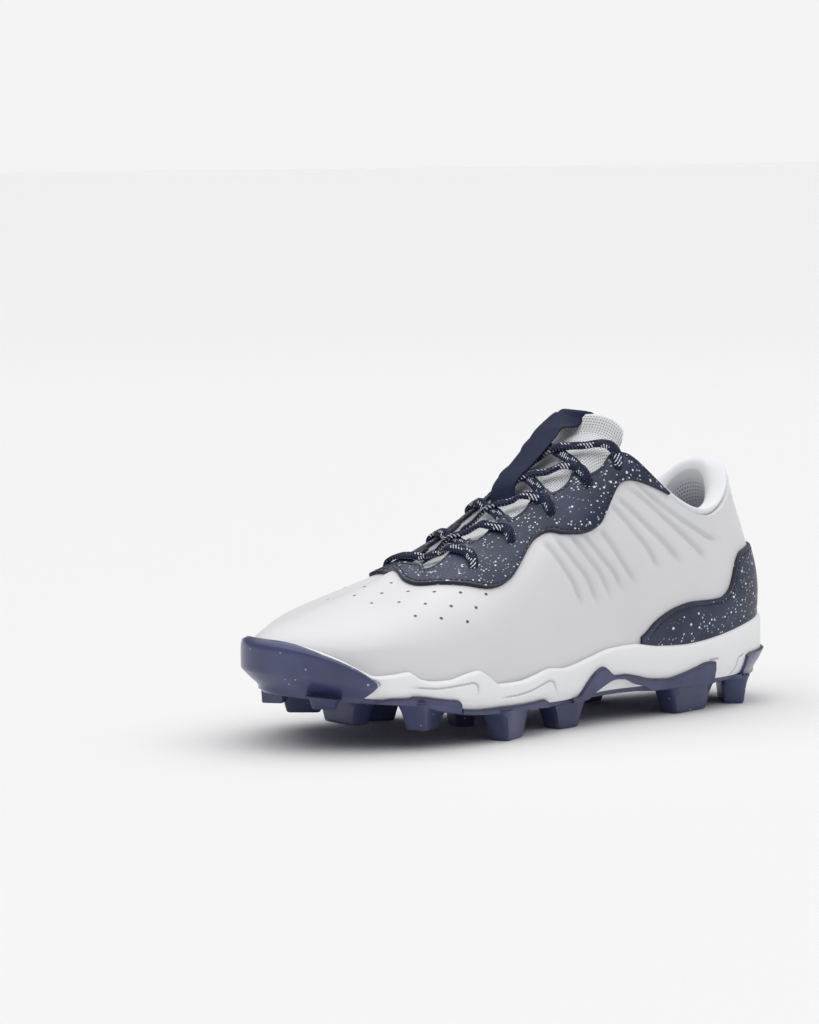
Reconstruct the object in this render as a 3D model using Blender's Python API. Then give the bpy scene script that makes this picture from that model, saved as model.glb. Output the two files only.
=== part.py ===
# Moulded baseball cleat for the left foot.
# X runs to the outer side of the foot, -Y to the toe and +Z up from the ground.
import bpy
import bmesh
import numpy as np
from mathutils import Matrix, Vector

for old in list(bpy.data.objects):
    bpy.data.objects.remove(old, do_unlink=True)

# Overall sizes, in metres
LENGTH = 0.298
BALL_WIDTH = 0.100          # across the upper at the ball of the foot
HEEL_HEIGHT = 0.084         # back of the collar above the bed
INSTEP_HEIGHT = 0.096       # top corner of the throat above the bed
TOE_HEIGHT = 0.0116         # widest line of the toe above the bed
STUD_HEIGHT = 0.0125        # the plate's underside above the ground, at the ball
TOE_SPRING = 0.0130         # how far the sole's tip rises
FOAM_HEEL = 0.0115          # foam under the heel
RIM_HEIGHT = 0.0200         # waist wave of the foam's side above its underside
STUD_LONG = 0.0150          # a stud's tip, its long side
STUD_WIDE = 0.0090          # and its short side
STUD_FLARE = 0.0062         # how much longer its root is at each end
EYELET_SIZE = 0.0046
SCALLOP_SIZE = 0.0125       # width of the notches between the eyelets
LACE_WIDE = 0.0060
LACE_THICK = 0.0024
STRAP_WIDE = 0.0115
TONGUE_OVER = 0.0100        # the tongue's end above the top corners of the throat
COLLAR_OVER = 0.0045        # the padded roll above the upper's top line

# Walls and clearances
UPPER_WALL = 0.0022
OVERLAY_WALL = 0.0013
FOAM_WALL = 0.0024          # the cup's edge
TOE_FOAM_WALL = 0.0016      # the cup's edge behind the bumper
PLATE_WALL = 0.0022
WRAP_WALL = 0.0018
BUMPER_WALL = 0.0026
INSOLE_WALL = 0.0035
TONGUE_WALL = 0.0042
STRAP_WALL = 0.0012
PAD_WALL = 0.0080
GAP = 0.0003                # between pieces that touch
WELD = 0.00003              # corners of a Boolean nearer than this become one
TUCK = 0.0030               # the upper's lower edge inside its widest line
PLATE_INSET = 0.0025        # the plate's edge inside the foam's, between the wraps
PLATE_REACH = 0.62          # how far it reaches into a wrap, share of WRAP_WALL

TURN = 28                   # steps once round the shoe: 0 heel, 14 toe, outer side first
BULGE_AT = 0.22             # share of the wall's course that lies below its widest line


def table(names, rows):
    """Named columns from rows of numbers."""
    return dict(zip(names.split(), np.array(rows, dtype=float).T))


# The last: one row for each step from heel to toe, at its widest line.
# at: share of LENGTH from the heel.  out, inn: shares of BALL_WIDTH from the axis.
# wide_up: height above the bed, share of TOE_HEIGHT.  lean: degrees from upright at the top line.
# rise, reach: how stiffly the wall leaves its widest line and comes to its top line.
LAST = table("at out inn wide_up lean rise reach", [
    (0.0120, 0.000, 0.000, 1.95, 8, 0.360, 0.30),
    (0.0300, 0.175, 0.170, 1.92, 9, 0.360, 0.30),
    (0.0790, 0.290, 0.280, 1.81, 10, 0.360, 0.30),
    (0.1680, 0.352, 0.318, 1.67, 12, 0.360, 0.30),
    (0.2750, 0.364, 0.305, 1.56, 22, 0.360, 0.30),
    (0.3760, 0.372, 0.285, 1.48, 33, 0.360, 0.32),
    (0.4530, 0.400, 0.290, 1.45, 40, 0.340, 0.34),
    (0.5300, 0.445, 0.330, 1.41, 46, 0.320, 0.36),
    (0.6070, 0.488, 0.395, 1.37, 52, 0.300, 0.38),
    (0.6850, 0.508, 0.450, 1.34, 56, 0.270, 0.40),
    (0.7580, 0.498, 0.470, 1.27, 60, 0.230, 0.42),
    (0.8260, 0.450, 0.440, 1.19, 64, 0.190, 0.44),
    (0.8800, 0.365, 0.305, 1.09, 67, 0.150, 0.47),
    (0.9310, 0.235, 0.140, 1.01, 69, 0.120, 0.50),
    (0.9570, 0.035, -0.035, 0.98, 70, 0.105, 0.50),
])
# Its top line round the collar and the throat, one row for each of the same steps.
TOP = table("at out inn", [
    (0.066, 0.000, 0.000),
    (0.078, 0.140, 0.140),
    (0.112, 0.255, 0.260),
    (0.176, 0.330, 0.310),
    (0.250, 0.335, 0.310),
    (0.320, 0.310, 0.300),
    (0.356, 0.275, 0.280),
    (0.403, 0.220, 0.240),
    (0.453, 0.170, 0.212),
    (0.510, 0.135, 0.198),
    (0.560, 0.110, 0.192),
    (0.608, 0.095, 0.190),
    (0.645, 0.085, 0.175),
    (0.662, 0.015, 0.130),
    (0.668, -0.060, 0.060),
])
COLLAR_UP = np.array([1.000, 0.970, 0.850, 0.765, 0.880])       # shares of HEEL_HEIGHT
THROAT_UP = np.array([0.955, 0.985, 0.915, 0.830, 0.730,
                      0.650, 0.570, 0.515, 0.500, 0.500])       # shares of INSTEP_HEIGHT
INNER_DROP = np.array([0.000, 0.010, 0.040, 0.060, 0.070,
                       0.072, 0.068, 0.055, 0.028, 0.000])      # the inner side that much lower

# The foam along the shoe.  under: height of its underside, share of TOE_SPRING.
# bed: thickness up to the bed, share of FOAM_HEEL.
SOLE = table("at under bed", [
    (0.000, 0.10, 1.00),
    (0.100, 0.00, 1.00),
    (0.250, 0.00, 0.95),
    (0.400, 0.02, 0.75),
    (0.500, -0.08, 0.60),
    (0.600, 0.00, 0.52),
    (0.690, 0.05, 0.50),
    (0.740, 0.25, 0.46),
    (0.790, 0.52, 0.42),
    (0.860, 0.68, 0.44),
    (0.930, 0.86, 0.50),
    (1.000, 1.15, 0.50),
])
# The foam's top edge, in waves.  up: share of RIM_HEIGHT above the foam's base.
RIM = table("at up", [
    (0.000, 1.38), (0.018, 1.36), (0.034, 1.32), (0.058, 1.25), (0.087, 1.175), (0.125, 1.07),
    (0.165, 0.965), (0.200, 0.90), (0.235, 0.865), (0.290, 0.90),
    (0.340, 1.00), (0.390, 0.97), (0.432, 0.84), (0.497, 0.68), (0.532, 0.725), (0.560, 0.64),
    (0.604, 0.545), (0.641, 0.55), (0.668, 0.80), (0.684, 0.905), (0.705, 0.86), (0.740, 0.755),
    (0.765, 0.76), (0.784, 0.83), (0.803, 1.00), (0.825, 0.96), (0.848, 0.94), (0.868, 1.08),
    (0.888, 1.27), (0.908, 1.43), (0.925, 1.53), (0.940, 1.60), (0.951, 1.63), (0.960, 1.64),
])
# The rubber's waves up the foam's side.  up: share of RIM_HEIGHT above the foam's base.
WAIST_WRAP = table("at up", [
    (0.188, 0.42), (0.235, 0.24), (0.290, 0.16), (0.340, 0.28), (0.376, 0.38), (0.396, 0.40),
    (0.415, 0.61), (0.434, 0.52), (0.460, 0.14),
])
HEEL_WRAP = table("at up", [(0.000, 0.64), (0.060, 0.62), (0.100, 0.50)])
# low: where the bumper's lower edge leaves the plate.
BUMPER = table("at up low", [
    (0.848, 0.84, 0.70), (0.868, 1.04, 0.40), (0.888, 1.23, 0.00), (0.908, 1.39, -0.20),
    (0.925, 1.49, -0.20), (0.940, 1.56, -0.20), (0.951, 1.59, -0.20), (0.960, 1.60, -0.20),
])
# The sole's lower edge.  out: how far the plate reaches out, 0 under the foam, 1 into a wrap.
# tuck: how far the whole edge draws in under the upper, share of FOAM_HEEL.
EDGE = table("at out tuck", [
    (0.000, 1, 0.30), (0.058, 1, 0.28), (0.100, 1, 0.12), (0.125, 0, 0.05), (0.165, 0, 0.00),
    (0.188, 1, 0.00), (0.460, 1, 0.00), (0.497, 0, 0.00), (0.803, 0, 0.00), (0.848, 0, 0.14),
    (0.868, 0.4, 0.26), (0.888, 1, 0.40), (0.925, 1, 0.54), (0.960, 1, 0.60),
])
# Studs.  across: share of BALL_WIDTH, outer side positive.  turn: degrees from the long axis.
# long, wide: shares of STUD_LONG and STUD_WIDE.  up: tip above the ground, share of STUD_HEIGHT.
STUDS = table("at across turn long wide up", [
    (0.874, -0.108, -55, 0.60, 0.80, 1.50),
    (0.866, 0.172, 54, 0.80, 0.90, 1.42),
    (0.785, -0.345, -38, 0.95, 1.00, 0.64),
    (0.805, 0.050, 90, 1.30, 1.00, 0.64),
    (0.757, 0.405, 30, 0.95, 1.00, 0.66),
    (0.640, -0.370, -25, 0.95, 1.00, 0.00),
    (0.575, 0.000, 70, 0.75, 0.90, 0.00),
    (0.607, 0.435, 26, 0.95, 1.00, 0.00),
    (0.480, -0.245, -10, 0.95, 1.00, 0.00),
    (0.470, 0.328, 8, 0.80, 1.00, 0.00),
    (0.270, -0.225, 8, 1.20, 1.00, 0.00),
    (0.215, 0.270, 12, 1.25, 1.00, 0.00),
    (0.088, -0.155, -52, 0.95, 1.00, 0.00),
    (0.088, 0.160, 56, 0.95, 1.00, 0.00),
])
# Outer edge of the eyestay on the upper: u round the shoe, v up its wall.
EYESTAY = table("u v", [
    (4.12, 0.984), (4.76, 0.912), (5.16, 0.880), (5.50, 0.850), (5.68, 0.800), (5.80, 0.740),
    (5.95, 0.688), (6.30, 0.672), (7.16, 0.715), (7.85, 0.765), (8.10, 0.760), (8.26, 0.700),
    (8.42, 0.610), (8.76, 0.584), (9.88, 0.664), (11.12, 0.776), (12.68, 0.890), (14.00, 0.930),
])
# Upper edge of the heel counter.
COUNTER = table("u v", [
    (0.00, 0.600), (1.68, 0.600), (2.15, 0.600), (2.36, 0.540), (2.50, 0.450), (2.64, 0.352),
    (2.88, 0.314), (3.44, 0.325), (3.76, 0.300), (4.44, 0.175),
])
EYELETS = table("u v", [(9.84, 0.752), (8.84, 0.808), (7.76, 0.840), (6.68, 0.888), (5.70, 0.925)])
SCALLOPS = (11.90, 10.05, 8.80, 7.62, 6.55)     # u of the notches between the eyelets
UNDER_EDGE = (10.80, 9.40, 8.20, 7.08)          # u where a lace comes up under the throat's edge


def flow(rows, column, at):
    """A table's column at a place along the shoe, on a smooth curve through its rows."""
    x, y = rows["at"], rows[column]
    slope = np.gradient(y, x)
    at = np.clip(at, x[0], x[-1])
    cell = np.clip(np.searchsorted(x, at) - 1, 0, len(x) - 2)
    step = x[cell + 1] - x[cell]
    t = (at - x[cell]) / step
    return (y[cell] * (2 * t**3 - 3 * t**2 + 1) + y[cell + 1] * (3 * t**2 - 2 * t**3)
            + step * slope[cell] * (t**3 - 2 * t**2 + t) + step * slope[cell + 1] * (t**3 - t**2))


BASE = STUD_HEIGHT + PLATE_WALL + GAP       # the foam's underside at the ball


def under_height(at):
    """Height of the foam's underside above the ground."""
    return BASE + TOE_SPRING * flow(SOLE, "under", at)


def bed_height(at):
    """Height of the foam's bed above the ground."""
    return under_height(at) + FOAM_HEEL * flow(SOLE, "bed", at)


def rim_height(at):
    """Height of the foam's top edge above the ground."""
    return BASE + RIM_HEIGHT * np.interp(at, RIM["at"], RIM["up"])


def around(outer, inner):
    """Values once round the shoe, from its outer and inner sides."""
    return np.concatenate([outer, inner[-2:0:-1]])


def loop_spline(values, at):
    """Closed cubic spline through evenly spaced values."""
    count = len(values)
    spread = (4 * np.eye(count) + np.roll(np.eye(count), 1, 0) + np.roll(np.eye(count), -1, 0)) / 6
    control = np.linalg.solve(spread, values)
    cell = np.floor(at).astype(int)
    t = at - cell
    weights = ((1 - t)**3, 3 * t**3 - 6 * t**2 + 4, -3 * t**3 + 3 * t**2 + 3 * t + 1, t**3)
    return sum(w / 6 * control[(cell + k - 1) % count] for k, w in enumerate(weights))


def last_line(rows, outer_up, inner_up, u):
    """A line once round the shoe, from its table and its heights."""
    x = loop_spline(around(rows["out"], -rows["inn"]) * BALL_WIDTH, u)
    y = LENGTH / 2 - loop_spline(around(rows["at"], rows["at"]) * LENGTH, u)
    z = loop_spline(around(outer_up, inner_up), u)
    return np.stack([x, y, z], -1)


WIDE_UP = bed_height(LAST["at"]) + LAST["wide_up"] * TOE_HEIGHT
OUTER_UP, INNER_UP = (
    bed_height(0.2) + np.concatenate([COLLAR_UP * HEEL_HEIGHT, (THROAT_UP - drop) * INSTEP_HEIGHT])
    for drop in (0, INNER_DROP))


def unit(vector):
    return vector / np.linalg.norm(vector, axis=-1, keepdims=True)


def wide_line(u):
    return last_line(LAST, WIDE_UP, WIDE_UP, u)


def outward(u):
    """Level direction out of the shoe at its widest line."""
    step = 0.02
    along = wide_line(u + step) - wide_line(u - step)
    return unit(np.stack([-along[..., 1], along[..., 0], 0 * u], -1))


def bezier(a, b, c, d, t):
    t = t[..., None]
    return a * (1 - t)**3 + 3 * b * t * (1 - t)**2 + 3 * c * t**2 * (1 - t) + d * t**3


def wall(u, v):
    """Outer face of the upper: u runs round the shoe, v from 0 at the bed to 1 at the top line."""
    u, v = np.broadcast_arrays(np.asarray(u, float), np.asarray(v, float))
    wide = wide_line(u)
    out = outward(u)
    top = last_line(TOP, OUTER_UP, INNER_UP, u)
    foot = wide - out * TUCK
    foot[..., 2] = bed_height(0.5 - foot[..., 1] / LENGTH) + GAP
    up = np.array([0.0, 0.0, 1.0])
    lift = up * (wide - foot)[..., 2:]
    lower = bezier(foot, foot + out * TUCK * 0.5 + lift * 0.1, wide - lift * 0.55, wide,
                   np.clip(v / BULGE_AT, 0, 1))
    span = top - wide
    inward = span * np.array([1.0, 1.0, 0.0]) - out * 0.12 * BALL_WIDTH
    lean = np.radians(loop_spline(around(LAST["lean"], LAST["lean"]), u))[..., None]
    arrive = up * np.cos(lean) + unit(inward) * np.sin(lean)
    far = np.linalg.norm(span, axis=-1, keepdims=True)
    rise = loop_spline(around(LAST["rise"], LAST["rise"]), u)[..., None] * far
    reach = loop_spline(around(LAST["reach"], LAST["reach"]), u)[..., None] * far
    t = (v - BULGE_AT) / (1 - BULGE_AT)
    upper = bezier(wide, wide + up * rise, top - arrive * reach, top, np.clip(t, 0, 1))
    beyond = arrive * far * np.maximum(t - 1, 0)[..., None]
    return np.where((v < BULGE_AT)[..., None], lower, upper) + beyond


def wall_normal(u, v):
    step = 0.01
    around_it = wall(u + step, v) - wall(u - step, v)
    up_it = wall(u, v + step) - wall(u, v - step)
    return unit(np.cross(up_it, around_it))


def skin(u, v, out):
    """The upper's outer face, moved out by a distance."""
    return wall(u, v) + wall_normal(u, v) * np.asarray(out, float)[..., None]


def share_at_height(u, height):
    """v where the upper's wall reaches a height, for each u."""
    trial = np.linspace(0, 0.7, 71)
    heights = wall(u[:, None], trial[None, :])[..., 2]
    return np.array([np.interp(h, row, trial) for h, row in zip(height, heights)])


def station(u):
    """Share of LENGTH from the heel, at the widest line."""
    return 0.5 - wide_line(u)[..., 1] / LENGTH


def turn_at(at, side):
    """u on the outer (side 1) or inner (side -1) half where the widest line passes a station."""
    trial = np.linspace(0, TURN / 2, 281)
    u = np.interp(at, station(trial if side > 0 else TURN - trial), trial)
    return u if side > 0 else TURN - u


def shell(u, height, out):
    """Points at a height, outside the upper's face above its widest line, or outside that line."""
    wide = wide_line(u)
    level = wide + outward(u) * out[:, None]
    level[:, 2] = height
    above = skin(u, share_at_height(u, height), out)
    return np.where((height > wide[:, 2])[:, None], above, level)


def foam_out(u, height):
    """How far the foam's side lies outside the upper's widest line, at a height."""
    at = station(u)
    edge = GAP + np.interp(at, [BUMPER["at"][0] - 0.02, BUMPER["at"][0] + 0.03],
                           [FOAM_WALL, TOE_FOAM_WALL])
    t = (height - under_height(at)) / (rim_height(at) - under_height(at))
    tuck = FOAM_HEEL * np.interp(at, EDGE["at"], EDGE["tuck"])
    return edge * np.interp(t, [0, 0.38, 0.72, 1], [0.5, 1.15, 1.2, 1.0]) - tuck * np.clip(1 - t / 0.38, 0, 1)


# Mesh helpers
collections = {}
for label in ("cleat", "cutters"):
    collections[label] = bpy.data.collections.new(label)
    bpy.context.scene.collection.children.link(collections[label])


def grid_faces(rows, columns, close_rows=False, close_columns=False):
    """Triangles of a grid of points; a closed direction joins its last line to its first."""
    faces = []
    for i in range(rows if close_rows else rows - 1):
        for j in range(columns if close_columns else columns - 1):
            near, far, after = i * columns, (i + 1) % rows * columns, (j + 1) % columns
            faces += [(near + j, near + after, far + after), (near + j, far + after, far + j)]
    return faces


def add_mesh(name, points, faces):
    """A closed mesh object, welded, with its faces turned outwards."""
    mesh = bpy.data.meshes.new(name)
    mesh.from_pydata(points.reshape(-1, 3).tolist(), [], faces)
    obj = bpy.data.objects.new(name, mesh)
    collections["cleat"].objects.link(obj)
    work = bmesh.new()
    work.from_mesh(mesh)
    bmesh.ops.remove_doubles(work, verts=work.verts, dist=1e-6)
    bmesh.ops.recalc_face_normals(work, faces=work.faces)
    if work.calc_volume(signed=True) < 0:
        bmesh.ops.reverse_faces(work, faces=work.faces)
    work.to_mesh(mesh)
    work.free()
    return obj


def add_tube(name, rings):
    """Closed rings of points joined in a row, with a flat cap at each end."""
    count, sides = rings.shape[:2]
    caps = [tuple(range(sides)), tuple(range((count - 1) * sides, count * sides))]
    return add_mesh(name, rings, grid_faces(count, sides, close_columns=True) + caps)


def add_ring(name, profiles):
    """Profiles swept once round the shoe, each from the spine, out and back to the spine."""
    return add_mesh(name, profiles, grid_faces(*profiles.shape[:2], close_rows=True))


def combine(obj, others, operation):
    """A Boolean of a piece with the helpers that shape it."""
    for other in others:
        for users in list(other.users_collection):
            users.objects.unlink(other)
        collections["cutters"].objects.link(other)
        other.hide_render = True
        other.display_type = "WIRE"
        cut = obj.modifiers.new(other.name, "BOOLEAN")
        cut.object = other
        cut.operation = operation
        cut.solver = "EXACT"
    obj.modifiers.new("weld", "WELD").merge_threshold = WELD


def join_helpers(name, objects):
    """Separate closed helpers as one mesh."""
    work = bmesh.new()
    for obj in objects:
        work.from_mesh(obj.data)
        bpy.data.objects.remove(obj, do_unlink=True)
    mesh = bpy.data.meshes.new(name)
    work.to_mesh(mesh)
    work.free()
    joined = bpy.data.objects.new(name, mesh)
    collections["cleat"].objects.link(joined)
    return joined


def finish(obj, name, colour, roughness):
    """A plain material on a piece."""
    material = bpy.data.materials.get(name) or bpy.data.materials.new(name)
    material.use_nodes = True
    shader = material.node_tree.nodes["Principled BSDF"]
    shader.inputs["Base Color"].default_value = (*colour, 1.0)
    shader.inputs["Roughness"].default_value = roughness
    shader.inputs["Metallic"].default_value = 0.0
    material.diffuse_color = (*colour, 1.0)
    obj.data.materials.clear()
    obj.data.materials.append(material)
    return obj


# Columns of the sole's pieces: the heel, the outer side, the toe and the inner side
INNER_ROWS = RIM["at"][1:-1]
WALL_ROWS = np.array([0, 0.10, 0.22, 0.31, 0.44, 0.58, 0.72, 0.86, 1.0])
COLUMNS = np.concatenate([[0.0], turn_at(INNER_ROWS, 1), [TURN / 2], turn_at(INNER_ROWS, -1)[::-1]])


def spine(u, height_at):
    """Middle of the sole beside each column, at a height along the shoe."""
    at = station(u)
    middle = 0.06 + 0.866 * at
    outer = wide_line(turn_at(at, 1))[:, 0]
    inner = wide_line(turn_at(at, -1))[:, 0]
    return np.stack([(outer + inner) / 2, LENGTH / 2 - middle * LENGTH, height_at(middle)], -1)


def floor_line(u, out, height_at):
    """Points level with the widest line moved out, at a height along the shoe."""
    line = wide_line(u) + outward(u) * np.broadcast_to(out, u.shape)[:, None]
    line[:, 2] = height_at(0.5 - line[:, 1] / LENGTH)
    return line


def midsole():
    """The foam cup: its bed, the wall round the upper, its waved edge and its stepped side."""
    u = COLUMNS
    at = station(u)
    rim, under = rim_height(at), under_height(at)
    middle, corner = spine(u, bed_height), wall(u, 0.0) + outward(u) * GAP
    corner[:, 2] = bed_height(0.5 - corner[:, 1] / LENGTH)
    top_share = share_at_height(u, rim)
    inner = [skin(u, np.minimum(share, top_share), np.full(len(u), GAP)) for share in WALL_ROWS[1:5]]
    side = [shell(u, height, foam_out(u, height))
            for height in (rim - GAP, under + 0.72 * (rim - under), under + 0.38 * (rim - under))]
    foot = floor_line(u, foam_out(u, under), under_height)
    low = spine(u, under_height)
    profile = [middle, (middle + corner) / 2, corner, *inner, *side, foot, (foot + low) / 2, low]
    return add_ring("midsole", np.stack(profile, 1))


def insole():
    """A thin liner on the bed, inside the upper's lower edge."""
    u = COLUMNS
    edge = wall(u, 0.0) - outward(u) * (UPPER_WALL + GAP)
    edge[:, 2] = bed_height(0.5 - edge[:, 1] / LENGTH) + GAP
    middle = spine(u, bed_height) + np.array([0.0, 0.0, GAP])
    up = np.array([0.0, 0.0, INSOLE_WALL])
    profile = [middle + up, (middle + edge) / 2 + up, edge + up, edge, (middle + edge) / 2, middle]
    return add_ring("insole", np.stack(profile, 1))


def plate():
    """The rubber plate under the foam."""
    u = COLUMNS
    share = np.interp(station(u), EDGE["at"], EDGE["out"])
    foam = foam_out(u, under_height(station(u)))
    out = foam - PLATE_INSET * (1 - share) + (GAP + WRAP_WALL * PLATE_REACH) * share

    def top(at):
        return under_height(at) - GAP

    def bottom(at):
        return under_height(at) - GAP - PLATE_WALL

    edge, low = floor_line(u, out, top), floor_line(u, out, bottom)
    high_spine, low_spine = spine(u, top), spine(u, bottom)
    profile = [high_spine, (high_spine + edge) / 2, edge, low, (low_spine + low) / 2, low_spine]
    return add_ring("outsole", np.stack(profile, 1))


def wrap(name, u, rows, thickness):
    """A band of the plate's rubber up the foam's side, its top edge from a table."""
    at = station(u)
    under = under_height(at)
    low = under - GAP - 0.65 * PLATE_WALL
    clear = 3 * GAP
    if "low" in rows:
        clear = 4 * GAP
        low = np.maximum(low, BASE + RIM_HEIGHT * np.interp(at, rows["at"], rows["low"]))
    high = BASE + RIM_HEIGHT * np.interp(at, rows["at"], rows["up"])
    foam = rim_height(at) - under
    levels = [low, *(np.clip(under + foam * share, low, high) for share in (0, 0.38, 0.72)), high]
    inside = [shell(u, h, foam_out(u, np.maximum(h, under)) + clear) for h in levels]
    outside = [shell(u, h, foam_out(u, np.maximum(h, under)) + thickness) for h in levels]
    return add_tube(name, np.stack(inside + outside[::-1], 1))


def stud(index):
    """A tapered stud with cut corners, from inside the plate to its tip."""
    row = {name: column[index] for name, column in STUDS.items()}
    centre = np.array([row["across"] * BALL_WIDTH, LENGTH / 2 - row["at"] * LENGTH])
    turn = np.radians(row["turn"])
    along = np.array([np.sin(turn), -np.cos(turn)])
    aside = np.array([np.cos(turn), np.sin(turn)])
    rings = []
    for flare in (STUD_FLARE, 0.0):
        half = STUD_LONG * row["long"] / 2 + flare, STUD_WIDE * row["wide"] / 2 + flare * 0.3
        cut = 0.25 * STUD_WIDE
        corners = []
        for a, b in ((1, 1), (-1, 1), (-1, -1), (1, -1)):
            ends = [(a * half[0], b * (half[1] - cut)), (a * (half[0] - cut), b * half[1])]
            corners += ends if a * b > 0 else ends[::-1]
        corners = np.array([np.append(centre + x * along + y * aside, 0) for x, y in corners])
        root = under_height(0.5 - corners[:, 1] / LENGTH) - GAP - 0.3 * PLATE_WALL
        corners[:, 2] = root if flare else row["up"] * STUD_HEIGHT
        rings.append(corners)
    return add_tube(f"stud_{index + 1}", np.array(rings))


def outsole():
    """Plate, toe bumper, side and heel wraps and studs, moulded as one."""
    base = plate()
    toe_from = turn_at(BUMPER["at"][0], 1) - 0.01
    toe_to = turn_at(BUMPER["at"][0], -1) + 0.01
    bumper = wrap("bumper", COLUMNS[(COLUMNS > toe_from) & (COLUMNS < toe_to)], BUMPER, BUMPER_WALL)
    heel = turn_at(HEEL_WRAP["at"][-1], 1)
    behind = COLUMNS[COLUMNS < heel]
    behind = np.concatenate([[-heel], -behind[:0:-1], behind, [heel]])
    back = wrap("heel_wrap", behind, HEEL_WRAP, WRAP_WALL)
    waist = WAIST_WRAP["at"]
    sides = [wrap("outer_wrap", turn_at(waist, 1), WAIST_WRAP, WRAP_WALL),
             wrap("inner_wrap", turn_at(waist, -1), WAIST_WRAP, WRAP_WALL)]
    studs = join_helpers("studs", [stud(index) for index in range(len(STUDS["at"]))])
    wraps = join_helpers("wraps", [bumper, back, *sides])
    combine(base, [studs, wraps], "UNION")
    return base


def punch(name, u, v, size, sides):
    """Round cutters square to the upper's wall, at each place and its mirror place."""
    work = bmesh.new()
    for turn, share in zip(np.concatenate([u, TURN - u]), np.tile(v, 2)):
        place, normal = wall(turn, share), wall_normal(turn, share)
        spin = Vector(normal).to_track_quat("Z", "Y").to_matrix().to_4x4()
        bmesh.ops.create_cone(work, cap_ends=True, segments=sides, radius1=size / 2, radius2=size / 2,
                              depth=0.016, matrix=Matrix.Translation(Vector(place)) @ spin)
    mesh = bpy.data.meshes.new(name)
    work.to_mesh(mesh)
    work.free()
    obj = bpy.data.objects.new(name, mesh)
    collections["cleat"].objects.link(obj)
    return obj


def upper():
    """The upper's hollow wall, open at the collar, at the throat and underneath."""
    u, v = COLUMNS[:, None], WALL_ROWS[None, :]
    outside, inside = skin(u, v, 0.0), skin(u, v, -UPPER_WALL)
    points = np.concatenate([outside, inside[:, ::-1]], 1)
    return add_mesh("upper", points, grid_faces(*points.shape[:2], True, True))


def merge(regular, *others):
    """Columns of the wall with those of an edge among them, none nearly twice."""
    others = np.unique(np.concatenate(others))
    near = np.abs(regular[:, None] - others[None, :]).min(1)
    return np.unique(np.concatenate([regular[near > 0.09], others]))


def overlay(name, u, low, high):
    """A layer on the upper between two lines of its wall."""
    rows = np.broadcast_to(WALL_ROWS, (len(u), len(WALL_ROWS)))
    v = np.clip(rows, low[:, None], high[:, None])
    inside, outside = (skin(u[:, None], v, 1.4 * GAP + thick) for thick in (0, OVERLAY_WALL))
    return add_tube(name, np.concatenate([inside, outside[:, ::-1]], 1))


def eyestay():
    """The overlay round the throat, from collar to collar round its front."""
    outer = EYESTAY["u"]
    low = outer[0], TURN - outer[0]
    regular = COLUMNS[(COLUMNS > low[0]) & (COLUMNS < low[1])]
    u = merge(regular, outer, TURN - outer)
    return overlay("eyestay", u, np.interp(np.minimum(u, TURN - u), outer, EYESTAY["v"]), np.ones(len(u)))


def heel_counter():
    """The overlay round the heel, down to the foam's edge."""
    end = COUNTER["u"][-1]
    regular = np.where(COLUMNS > TURN / 2, COLUMNS - TURN, COLUMNS)
    u = merge(regular[np.abs(regular) < end], COUNTER["u"], -COUNTER["u"])
    low = share_at_height(u, rim_height(station(u)) + 2 * GAP)
    high = np.interp(np.abs(u), COUNTER["u"], COUNTER["v"])
    return overlay("heel_counter", u, low, np.maximum(high, low + 0.015))


def collar_pad():
    """The padded roll inside the collar, standing a little above the upper's top line."""
    regular = np.where(COLUMNS > TURN / 2, COLUMNS - TURN, COLUMNS)
    u = merge(regular[np.abs(regular) < 5.1], np.array([-5.1, 5.1]))
    thick = PAD_WALL * np.interp(np.abs(u), [0, 3.2, 5.1], [1.0, 0.9, 0.22])
    far = np.linalg.norm(wall(u, 1.0) - wall(u, BULGE_AT), axis=-1) / (1 - BULGE_AT)
    over = COLLAR_OVER * np.interp(np.abs(u), [0, 3.5, 5.1], [1.0, 0.85, 0.5]) / far
    inside = UPPER_WALL + 1.4 * GAP
    places = [(-0.28, inside, 0.0), (-0.14, inside, 0.0), (0.0, inside, 0.0), (0.35, inside, 0.0),
              (0.45, 2 * GAP, 0.0), (0.9, 2 * GAP, 0.1), (1.0, inside, 0.35), (0.75, inside, 0.9),
              (-0.04, inside, 1.15), (-0.16, inside, 1.0), (-0.27, inside, 0.35)]
    rings = []
    for rise, depth, share in places:
        v = 1 + over * rise if rise > 0 else np.full(len(u), 1 + rise)
        rings.append(skin(u, v, -(depth + thick * share)))
    return add_tube("collar_pad", np.stack(rings, 1))


def bridge(u, t):
    """The throat closed over: t is 1 at its outer edge, -1 at its inner edge, more on the walls."""
    u, t = np.broadcast_arrays(np.asarray(u, float), np.asarray(t, float))
    outer, inner = wall(u, 1.0), wall(TURN - u, 1.0)
    outer_way = unit(wall(u, 1.02) - wall(u, 1.0))
    inner_way = unit(wall(TURN - u, 1.02) - wall(TURN - u, 1.0))
    handle = 0.30 * np.linalg.norm(outer - inner, axis=-1, keepdims=True)
    across = bezier(outer, outer + outer_way * handle, inner + inner_way * handle, inner,
                    np.clip((1 - t) / 2, 0, 1))
    on_outer = wall(u, 1 - 0.4 * np.maximum(t - 1, 0))
    on_inner = wall(TURN - u, 1 - 0.4 * np.maximum(-t - 1, 0))
    return np.where((t > 1)[..., None], on_outer, np.where((t < -1)[..., None], on_inner, across))


def over_bridge(u, t, out):
    """The closed throat's surface, moved up by a distance."""
    u, t = np.broadcast_arrays(np.asarray(u, float), np.asarray(t, float))
    step = 0.02
    forward = bridge(u + step, t) - bridge(u - step, t)
    aside = bridge(u, t + step) - bridge(u, t - step)
    return bridge(u, t) + unit(np.cross(forward, aside)) * np.broadcast_to(out, u.shape)[..., None]


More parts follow.
